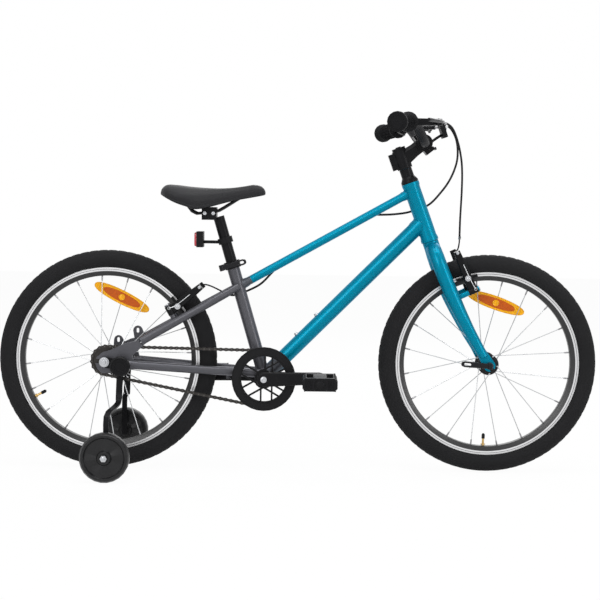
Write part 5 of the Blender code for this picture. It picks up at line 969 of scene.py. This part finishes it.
bm = bmesh.new()
tube(bm, smooth_path(REAR_HOUSING, HOUSING_STEPS), HOUSING_RADIUS)
piece = shaped("rear_cable_housing", bm, housing_black, None, "rear_brake_cable", angle=60)
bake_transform(piece)
dress("front_brake_cable", housing_black, round_edges=0)
for name, start, end, radius, body in FERRULES:
    bm = bmesh.new()
    rod(bm, start, end, radius, FERRULE_SIDES)
    shaped(name, bm, ferrule, body)


# The rim brakes: forged black arms on the bosses, each with a sprung steel wire along it, a rubber
# pad on a threaded stud with its nut, and a bright bolt in its pivot.
PAD_RADIUS = 0.2052
PAD_NUT_SIDE = 0.0478
PAD_NUT = (0.0056, 0.0028, 0.0030, 0.0012)
PAD_WASHER = (0.0068, 0.0035)
CABLE_BOLT_SIDE = 0.0526
CABLE_BOLT_DROP = 0.004
CABLE_BOLT = (0.0036, 0.0026)
PIVOT_BOLT_SIDE = 0.040
PIVOT_BOLT = (0.0058, 0.0018)
SPRING_FOOT = Vector((0.006, 0.002, 0.0486))
SPRING_BEND = Vector((0.004, 0.020, 0.0490))
SPRING_TOP_SIDE = 0.0512
SPRING_TOP_AHEAD = 0.002
SPRING_LEAN_SHARE = 0.6
SPRING_TOP_SHARE = 0.66
SPRING_RADIUS = 0.0009
SPRING_COIL = (0.0030, 0.0009, 20, 6)
BRAKES = (
    ("front", Vector((0.90599, 0, 0.42329)), Vector((-0.42329, 0, 0.90599)), 0.0493, 0.0636, 0.098, 0.001),
    ("rear", Vector((-0.4952, 0, 0.86878)), Vector((0.86878, 0, 0.4952)), 0.0283, 0.0426, 0.090, 0.014),
)
HOLDERS = {"front": "steering", "rear": "frame"}
brake_black = grained("brake_black", (0.012, 0.012, 0.013), 0.33, 0.0006, 0.02, 0.4, 0.07, metallic=0.4)


def hex_nut(bm, spot, way, radius, height, end_radius, end_height):
    """A six-sided nut with the round end of its stud standing out of it, added to the bmesh."""
    rod(bm, spot, spot + way * height, radius, 6)
    ball_head(bm, spot + way * height, way, end_radius, end_height, 12)


for end, out, up, middle, head, height, lean in BRAKES:
    for side, name in reversed(SIDES):
        body = end + "_brake_" + name
        dress(end + "_brake_arm_" + name, brake_black, round_edges=0.0008)
        sideways = Vector((0, side, 0))
        pivot = joints[body + "_turn"]["pos_m"]
        foot = Vector((pivot[0], 0, pivot[2]))
        arm = Matrix.Translation(foot) @ Matrix((out, up, sideways)).transposed().to_4x4()
        pad_ahead = middle - (AXLES[end] - foot).dot(out)
        pad = AXLES[end] + out * pad_ahead + up * math.sqrt(PAD_RADIUS**2 - pad_ahead**2)

        bolts, wire, cap = bmesh.new(), bmesh.new(), bmesh.new()
        nut = pad + sideways * PAD_NUT_SIDE
        hex_nut(bolts, nut, sideways, *PAD_NUT)
        rod(bolts, nut - sideways * PAD_WASHER[1], nut, PAD_WASHER[0], 20)
        top = arm @ Vector((middle + lean, height - CABLE_BOLT_DROP, CABLE_BOLT_SIDE))
        socket_screw(bolts, top, sideways, *CABLE_BOLT)
        shaped(body + "_bolts", bolts, steel, body)

        ahead = Vector((middle, 0, 0))
        top_ahead = lean * SPRING_LEAN_SHARE + SPRING_TOP_AHEAD
        top = Vector((top_ahead, height * SPRING_TOP_SHARE, SPRING_TOP_SIDE))
        path = [arm @ (ahead + spot) for spot in (SPRING_FOOT, SPRING_BEND, top)]
        tube(wire, smooth_path(path, 16), SPRING_RADIUS, 8)
        ring_round(wire, path[0], sideways, *SPRING_COIL)
        shaped(body + "_spring", wire, spoke_steel, body)

        socket_screw(cap, arm @ Vector((head, 0, PIVOT_BOLT_SIDE)), out, *PIVOT_BOLT)
        shaped(body + "_pivot_bolt", cap, steel, HOLDERS[end])


# The wheel reflectors: amber plastic leaves clipped between the spokes. Each has yellow ends, a deeper
# prismatic middle, a raised rim and a round boss at its centre.
LEAF_MIDDLE = (0.0468, 0.0110)
LEAF_HALF = (
    (0.0695, 0.0160, 0.00115), (0.0684, 0.0149, 0.0021), (0.0673, 0.0138, 0.0021),
    (0.0663, 0.0128, 0.0014), (*LEAF_MIDDLE, 0.0014),
)
LEAF_POWER = 0.82
LEAF_STEPS = 72
LEAF_FACE = 0.0014
BOSS_REACH = 0.0078
BOSS_HEIGHT = 0.0016
BOSS_RING = (0.0062, 0.0013, 32, 8)
BOSS_RING_OUT = 0.0006
BOSS_DOME = (0.0052, 0.0008, 24)
LEAF_PLACES = {
    "front": ((0.0178, 0.1403), math.radians(-19)),
    "rear": ((0.0299, 0.1423), math.radians(-26)),
}
LEAF_YELLOW = (0.90, 0.42, 0.002)
LEAF_AMBER = (0.54, 0.092, 0.0)

amber_leaf, shader = finish("amber_leaf", LEAF_YELLOW, 0.3)
tree = amber_leaf.node_tree
zone = node(tree, "ShaderNodeAttribute", attribute_name="middle").outputs["Fac"]
prisms = prisms_of(tree, 420, 0.1)
# Painted highlight and shade in the prisms: each prism's colour is lighter at its middle and darker
# towards its edges, over the yellow ends and amber middle.
shade = scaled(tree, mixed(tree, zone, LEAF_YELLOW, LEAF_AMBER), ranged(tree, prisms, 1.06, 0.90))
feed(shader, {"Base Color": shade, "Specular IOR Level": 0.15, "Coat Weight": 0.3, "Coat Roughness": 0.08})
relief(shader, prisms, 0.12, 0.0006)

for end, axle in AXLES.items():
    spot, tilt = LEAF_PLACES[end]
    leaf = side_on(axle) @ Matrix.Translation((*spot, 0)) @ Matrix.Rotation(tilt, 4, "Z")
    bm = bmesh.new()
    rings = []
    for length, height, out in [(*ring[:2], -ring[2]) for ring in reversed(LEAF_HALF)] + list(LEAF_HALF):
        ring = []
        for step in range(LEAF_STEPS):
            angle = math.tau * step / LEAF_STEPS
            up = squared(math.sin(angle), LEAF_POWER) * height
            ring.append(leaf @ Vector((math.cos(angle) * length, up, out)))
        rings.append(ring)
    lofted(bm, rings)
    for face in (1, -1):
        way = leaf.to_3x3() @ Vector((0, 0, face))
        boss = leaf @ Vector((0, 0, face * LEAF_FACE))
        ring_round(bm, boss + way * BOSS_RING_OUT, way, *BOSS_RING)
        ball_head(bm, boss, way, *BOSS_DOME)
    bmesh.ops.triangulate(bm, faces=[face for face in bm.faces if len(face.verts) > 4])
    piece = shaped(end + "_amber_leaf", bm, amber_leaf, end + "_wheel", end + "_wheel_reflector", angle=35)

    def is_middle(face):
        """Whether a face is in the flat oval middle of this leaf, and no part of its raised boss."""
        x, y, z = leaf.inverted() @ face.center
        if abs(z) > BOSS_HEIGHT and math.hypot(x, y) < BOSS_REACH:
            return False
        return math.hypot(x / LEAF_MIDDLE[0], y / LEAF_MIDDLE[1]) <= 1

    mark_faces(piece, "middle", is_middle)


# The drive chain: outer and inner steel link plates on pins, with a roller on every pin. It wraps the
# chainring in front and the freewheel's sprocket behind.
LINK_PITCH = 0.0127
CHAIN_LINE = 0.045
RING_TEETH = 32
SPROCKET_TEETH = 16
RING_RADIUS = LINK_PITCH / (2 * math.sin(math.pi / RING_TEETH))
SPROCKET_RADIUS = LINK_PITCH / (2 * math.sin(math.pi / SPROCKET_TEETH))
PLATE_SIDES = ((0.0016, 0.0025), (0.0026, 0.0036))
PLATE_RADIUS = 0.0041
PLATE_WAIST = 0.0026
PLATE_END_STEPS = 6
PLATE_END_FROM = math.radians(20)
PLATE_END_TURN = math.radians(140)
PIN_SIZE = (0.0038, 0.0015, 10)
ROLLER_SIZE = (0.0015, 0.0036, 12)
WRAP_STEPS = 60
OILED_STEEL = (0.045, 0.042, 0.04)
chain_steel = grained("oiled_chain_steel", OILED_STEEL, 0.38, 0.0008, 0.012, 0.8, 0.15, metallic=0.85)
roller_steel = grained("roller_steel", (0.11, 0.105, 0.10), 0.3, 0.0006, 0.01, 0.6, 0.1, metallic=1.0)

sprocket = Vector((AXLES["rear"].x - BRACKET.x, AXLES["rear"].z - BRACKET.z))
line = math.atan2(-sprocket.y, -sprocket.x)
lean = math.acos((SPROCKET_RADIUS - RING_RADIUS) / sprocket.length)
loop = []
for centre, radius, start, end in (
    (Vector((0, 0)), RING_RADIUS, line - lean, line + lean),
    (sprocket, SPROCKET_RADIUS, line + lean, line + math.tau - lean),
):
    for step in range(WRAP_STEPS + 1):
        angle = start + (end - start) * step / WRAP_STEPS
        loop.append(centre + Vector((radius * math.cos(angle), radius * math.sin(angle))))
loop.append(loop[0])
length = sum((second - first).length for first, second in zip(loop, loop[1:]))
link_count = 2 * round(length / LINK_PITCH / 2)
pins = even_steps(loop, link_count + 1)[:-1]

drive_side = side_on(BRACKET)


def across_chain(bm, pin, half_width, radius, sides):
    """A round bar through the chain at a pin, added to the bmesh."""
    low, high = (drive_side @ Vector((*pin, CHAIN_LINE + side * half_width)) for side in (-1, 1))
    rod(bm, low, high, radius, sides)


plates, rollers = bmesh.new(), bmesh.new()
for number, pin in enumerate(pins):
    after = pins[(number + 1) % link_count]
    along = (after - pin).normalized()
    across = Vector((-along.y, along.x))
    outline = []
    for centre, side in ((pin, 1), (after, -1)):
        for step in range(PLATE_END_STEPS + 1):
            angle = side * math.pi / 2 + PLATE_END_FROM + PLATE_END_TURN * step / PLATE_END_STEPS
            outline.append(centre + (along * math.cos(angle) + across * math.sin(angle)) * PLATE_RADIUS)
        outline.append((pin + after) / 2 - across * side * PLATE_WAIST)
    for face in (1, -1):
        rings = []
        for offset in PLATE_SIDES[number % 2]:
            rings.append([drive_side @ Vector((*point, CHAIN_LINE + face * offset)) for point in outline])
        lofted(plates, rings)
    across_chain(rollers, pin, *PIN_SIZE)
    across_chain(rollers, pin, *ROLLER_SIZE)
shaped("chain_plates", plates, chain_steel, "frame", "chain")
shaped("chain_rollers_and_pins", rollers, roller_steel, "frame")
dress("rear_sprocket", chain_steel, round_edges=0.0002)
dress("rear_axle", steel, round_edges=0.0003)
dress("front_axle", dark_screw, round_edges=0.0003)
dress("bottom_bracket_cartridge", black_metal)
dress("crank_spindle", steel, round_edges=0.0004)


# The chainring with its guard ring is painted black, and so are the forged cranks, each held by a
# bright bolt in its eye.
GUARD_LIPS = (0.0555, 0.0705)
GUARD_FACE = 0.0517
GUARD_LIP = (0.0005, 96, 6)
CRANK_FACE = 0.0645
CRANK_WASHER = (0.0072, 0.0012, 24)
CRANK_WASHER_SINK = 0.0004
CRANK_SCREW = (0.0060, 0.0022)
ring_black = grained("ring_black", (0.013, 0.013, 0.014), 0.45, 0.0007, 0.05, 0.5, 0.1, metallic=0.2)
dress("chainring", ring_black, round_edges=0.0003)
bm = bmesh.new()
for radius in GUARD_LIPS:
    ring_round(bm, drive_side @ Vector((0, 0, GUARD_FACE)), (0, -1, 0), radius, *GUARD_LIP)
shaped("guard_ring_lips", bm, ring_black, "crankset", angle=60)
for side, name in SIDES:
    dress("crank_arm_" + name, black_metal, round_edges=0.0012)
    sideways = Vector((0, side, 0))
    bm = bmesh.new()
    face = BRACKET + sideways * CRANK_FACE
    washered_screw(bm, face, sideways, CRANK_WASHER, CRANK_WASHER_SINK, CRANK_SCREW)
    shaped("crank_bolt_" + name, bm, steel, "crankset")


# The pedals: moulded black plastic cages, with rows of small grip studs on both treads, ribs down
# their outer face and a round cap over the end of the axle.
STUD_ROWS = 0.0335
STUDS_IN_ROW = 6
STUD_SPACING = 0.0155
STUD_FOOT = 0.0143
STUD_HEIGHT = 0.0016
STUD = (0.0022, 8, 0.0014)
CAP_SINK = 0.0004
CAP_HEIGHT = 0.0022
CAP = (0.0120, 36, 0.0112)
CAP_DOME = (0.0088, 0.0022, 28)
RIBS_AHEAD = (-0.0300, -0.0245, -0.0190, 0.0190, 0.0245, 0.0300)
RIB_OUT = 0.0004
RIB_RADIUS = 0.0014
RIB_HALF_HEIGHT = Vector((0, 0, 0.0095))
for side, name in SIDES:
    dress("pedal_" + name, plastic, round_edges=0.0010)
    sideways = Vector((0, side, 0))
    lowest, highest = (Vector(corner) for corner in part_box("pedal_" + name))
    middle = (lowest + highest) / 2
    bm = bmesh.new()
    for up in (1, -1):
        for ahead in (-STUD_ROWS, STUD_ROWS):
            for step in range(STUDS_IN_ROW):
                across = (step - (STUDS_IN_ROW - 1) / 2) * STUD_SPACING
                foot = middle + Vector((ahead, across, up * STUD_FOOT))
                rod(bm, foot, foot + Vector((0, 0, up * STUD_HEIGHT)), *STUD)
    cap = middle + sideways * ((highest.y - lowest.y) / 2 - CAP_SINK)
    rod(bm, cap, cap + sideways * CAP_HEIGHT, *CAP)
    ball_head(bm, cap + sideways * CAP_HEIGHT, sideways, *CAP_DOME)
    for ahead in RIBS_AHEAD:
        rib = cap + Vector((ahead, side * RIB_OUT, 0))
        rod(bm, rib - RIB_HALF_HEIGHT, rib + RIB_HALF_HEIGHT, RIB_RADIUS, 6)
    shaped("pedal_studs_" + name, bm, plastic, name + "_pedal")


# The seat post: black aluminium tube with a two-bolt saddle clamp. A quick-release collar with a
# slotted lever holds it in the seat tube.
CLAMP_BOLTS_AHEAD = (-0.2165, -0.1970)
CLAMP_BOLTS_SIDE = 0.0265
CLAMP_BOLTS_HEIGHT = 0.5900
CLAMP_BOLT = (0.0044, 0.0022, 0.0026, 0.0010)
dress("seatpost", black_metal, round_edges=0.0010)
dress("seat_clamp_collar", black_metal, round_edges=0.0008)
dress("seat_clamp_lever", lever_black)
dress("front_quick_release_lever", lever_black)
rail_black = grained("rail_black", (0.016, 0.016, 0.017), 0.3, 0.0006, 0.02, 0.3, 0.06, metallic=0.4)
dress("saddle_rails", rail_black, round_edges=0)
bm = bmesh.new()
for side in (-1, 1):
    for ahead in CLAMP_BOLTS_AHEAD:
        spot = Vector((ahead, side * CLAMP_BOLTS_SIDE, CLAMP_BOLTS_HEIGHT))
        hex_nut(bm, spot, Vector((0, side, 0)), *CLAMP_BOLT)
shaped("seat_clamp_bolts", bm, steel, "seat")


# The saddle: foam under a soft black vinyl cover, drawn over a plastic shell and bonded along its
# lower edge, where a seam runs all round.
SADDLE_TAIL = -0.3166
SADDLE_LENGTH = 0.2376
SADDLE_STEPS = 92
SADDLE_SIDE_STEPS = 61
SADDLE_LINES = (
    (0.000, 0.6375, 0.6325, 0.034), (0.012, 0.6455, 0.6300, 0.047), (0.060, 0.6535, 0.6235, 0.064),
    (0.150, 0.6535, 0.6130, 0.0735), (0.250, 0.6510, 0.6052, 0.0740), (0.345, 0.6490, 0.5990, 0.0690),
    (0.450, 0.6475, 0.6040, 0.0560), (0.560, 0.6470, 0.6110, 0.0410), (0.680, 0.6485, 0.6185, 0.0300),
    (0.790, 0.6520, 0.6235, 0.0245), (0.890, 0.6560, 0.6280, 0.0220), (0.955, 0.6535, 0.6310, 0.0195),
    (0.988, 0.6470, 0.6330, 0.0140), (1.000, 0.6410, 0.6350, 0.0080),
)
SADDLE_SECTION = (
    (0, 1), (0.35, 0.985), (0.65, 0.92), (0.90, 0.71), (1.0, 0.42), (0.985, 0.20), (0.972, 0.155),
    (0.978, 0.115), (0.955, 0.03), (0.90, 0), (0.82, 0.12), (0.50, 0.32), (0, 0.38),
)
CHANNEL_DEPTH = 0.0022
CHANNEL_HALF_SHARE = 0.30
CHANNEL_FROM = 0.10
CHANNEL_LENGTH = 0.75
CHANNEL_ABOVE = 0.6
PUFF_HEIGHT = 0.0007
PUFF_ABOVE = 0.5
PUFF_UNTIL = 0.9
VINYL_BLACK = (0.018, 0.018, 0.020)

vinyl, shader = finish("saddle_vinyl", VINYL_BLACK, 0.5)
tree = vinyl.node_tree
surface = grain_of(tree, VINYL_BLACK, 0.0011, 0.05, 0.3)
feed(shader, {
    "Base Color": surface["Colour"],
    "Roughness": ranged(tree, surface["Cloud"], 0.42, 0.62),
    "Specular IOR Level": 0.18,
    "Sheen Weight": 0.03,
})
pores = {"Vector": object_place(tree), "Scale": 900}
pores = node(tree, "ShaderNodeTexVoronoi", pores, feature="DISTANCE_TO_EDGE").outputs["Distance"]
relief(shader, pores, 0.4, 0.0005)


def smooth_line(values, count):
    """Rows of numbers read at even places from smooth curves through the given rows."""
    spans = len(values) - 1
    columns = list(zip(*values))
    line = []
    for step in range(count):
        spot = min(spans * step / (count - 1), spans - 1e-6)
        line.append([on_curve(column, int(spot), spot - int(spot)) for column in columns])
    return line


half_ring = smooth_line(SADDLE_SECTION, SADDLE_SIDE_STEPS)
ring = half_ring + [[-across, rise] for across, rise in reversed(half_ring[1:-1])]
bm = bmesh.new()
rings = []
for share, top, under, half_width in smooth_line(SADDLE_LINES, SADDLE_STEPS):
    spots = []
    for across, rise in ring:
        near_middle = max(0, 1 - abs(across) / CHANNEL_HALF_SHARE)
        in_channel = min(max((share - CHANNEL_FROM) / CHANNEL_LENGTH, 0), 1) if rise > CHANNEL_ABOVE else 0
        height = under + (top - under) * rise
        height -= CHANNEL_DEPTH * near_middle**2 * math.sin(math.pi * in_channel)
        if rise > PUFF_ABOVE and share < PUFF_UNTIL:
            height += PUFF_HEIGHT * math.sin(math.pi * min(abs(across), 1))
        spots.append(Vector((SADDLE_TAIL + SADDLE_LENGTH * share, half_width * across, height)))
    rings.append(spots)
lofted(bm, rings)
piece = shaped("saddle_cover", bm, vinyl, "seat", "saddle", angle=70)


# The rear reflector: a red prismatic lens in a black tray on a bracket round the post.
REAR_LENS_PLACE = (-0.2352, 0, 0.5300)
REAR_LENS_SIZE = (0.0232, 0.0162, 0.0052)
dress("rear_reflector", plastic)
red_lens = lens_with_painted_prism_light("red_lens", (0.55, 0.012, 0.03))
face = Matrix.Translation(REAR_LENS_PLACE) @ Matrix.Rotation(math.pi, 4, "Z")
lens_plate("rear_lens", face, REAR_LENS_SIZE, red_lens, "seat")


# The stabilisers: bent steel straps, painted black, bolted on with the axle and a hand knob. Each
# carries a moulded wheel with six raised blades, which turns on a shouldered bolt.
BOLT_SIDE = 0.0152
BOLT_HEAD = (0.0030, 0.0048, 0.0078)
BOLT_DOME_FROM = 0.0046
BOLT_DOME = (0.0042, 0.0012)
KNOB_PLACE = (-0.4005, 0.1005, 0.2430)
KNOB_RINGS = ((0.0002, 0.0192, 0.0014, 48, 8), (0, 0.0115, 0.0006, 40, 6))
WASHER_SIDE = 0.0792
WASHER_SIZE = (0.0112, 0.0040)
wheel_plastic = grained("wheel_plastic", (0.011, 0.011, 0.012), 0.34, 0.0009, 0.03, 0.45, 0.12)
feed(wheel_plastic.node_tree.nodes["Principled BSDF"], {"Specular IOR Level": 0.3})
knob_plastic = grained("knob_plastic", (0.008, 0.008, 0.009), 0.32, 0.0007, 0.02, 0.4, 0.08)
for side, name in SIDES:
    dress("stabiliser_bracket_" + name, black_metal)
    dress("stabiliser_knob_" + name, knob_plastic, round_edges=0.0012)
    dress("stabiliser_wheel_" + name, wheel_plastic, round_edges=0.0008)
    sideways = Vector((0, side, 0))

    bm = bmesh.new()
    hub = Vector(joints[name + "_stabiliser_turn"]["pos_m"]) + sideways * BOLT_SIDE
    rod(bm, hub + sideways * BOLT_HEAD[0], hub + sideways * BOLT_HEAD[1], BOLT_HEAD[2], 6)
    ball_head(bm, hub + sideways * BOLT_DOME_FROM, sideways, *BOLT_DOME)
    shaped("stabiliser_bolt_" + name, bm, steel, "frame")

    bm = bmesh.new()
    for out, *size in KNOB_RINGS:
        ring_round(bm, mirrored(KNOB_PLACE, side) + sideways * out, sideways, *size)
    shaped("knob_rim_" + name, bm, knob_plastic, "frame", angle=60)

    bm = bmesh.new()
    washer = AXLES["rear"] + sideways * WASHER_SIDE
    rod(bm, washer, washer + sideways * WASHER_SIZE[1], WASHER_SIZE[0], 32)
    shaped("axle_washer_" + name, bm, steel, "frame")
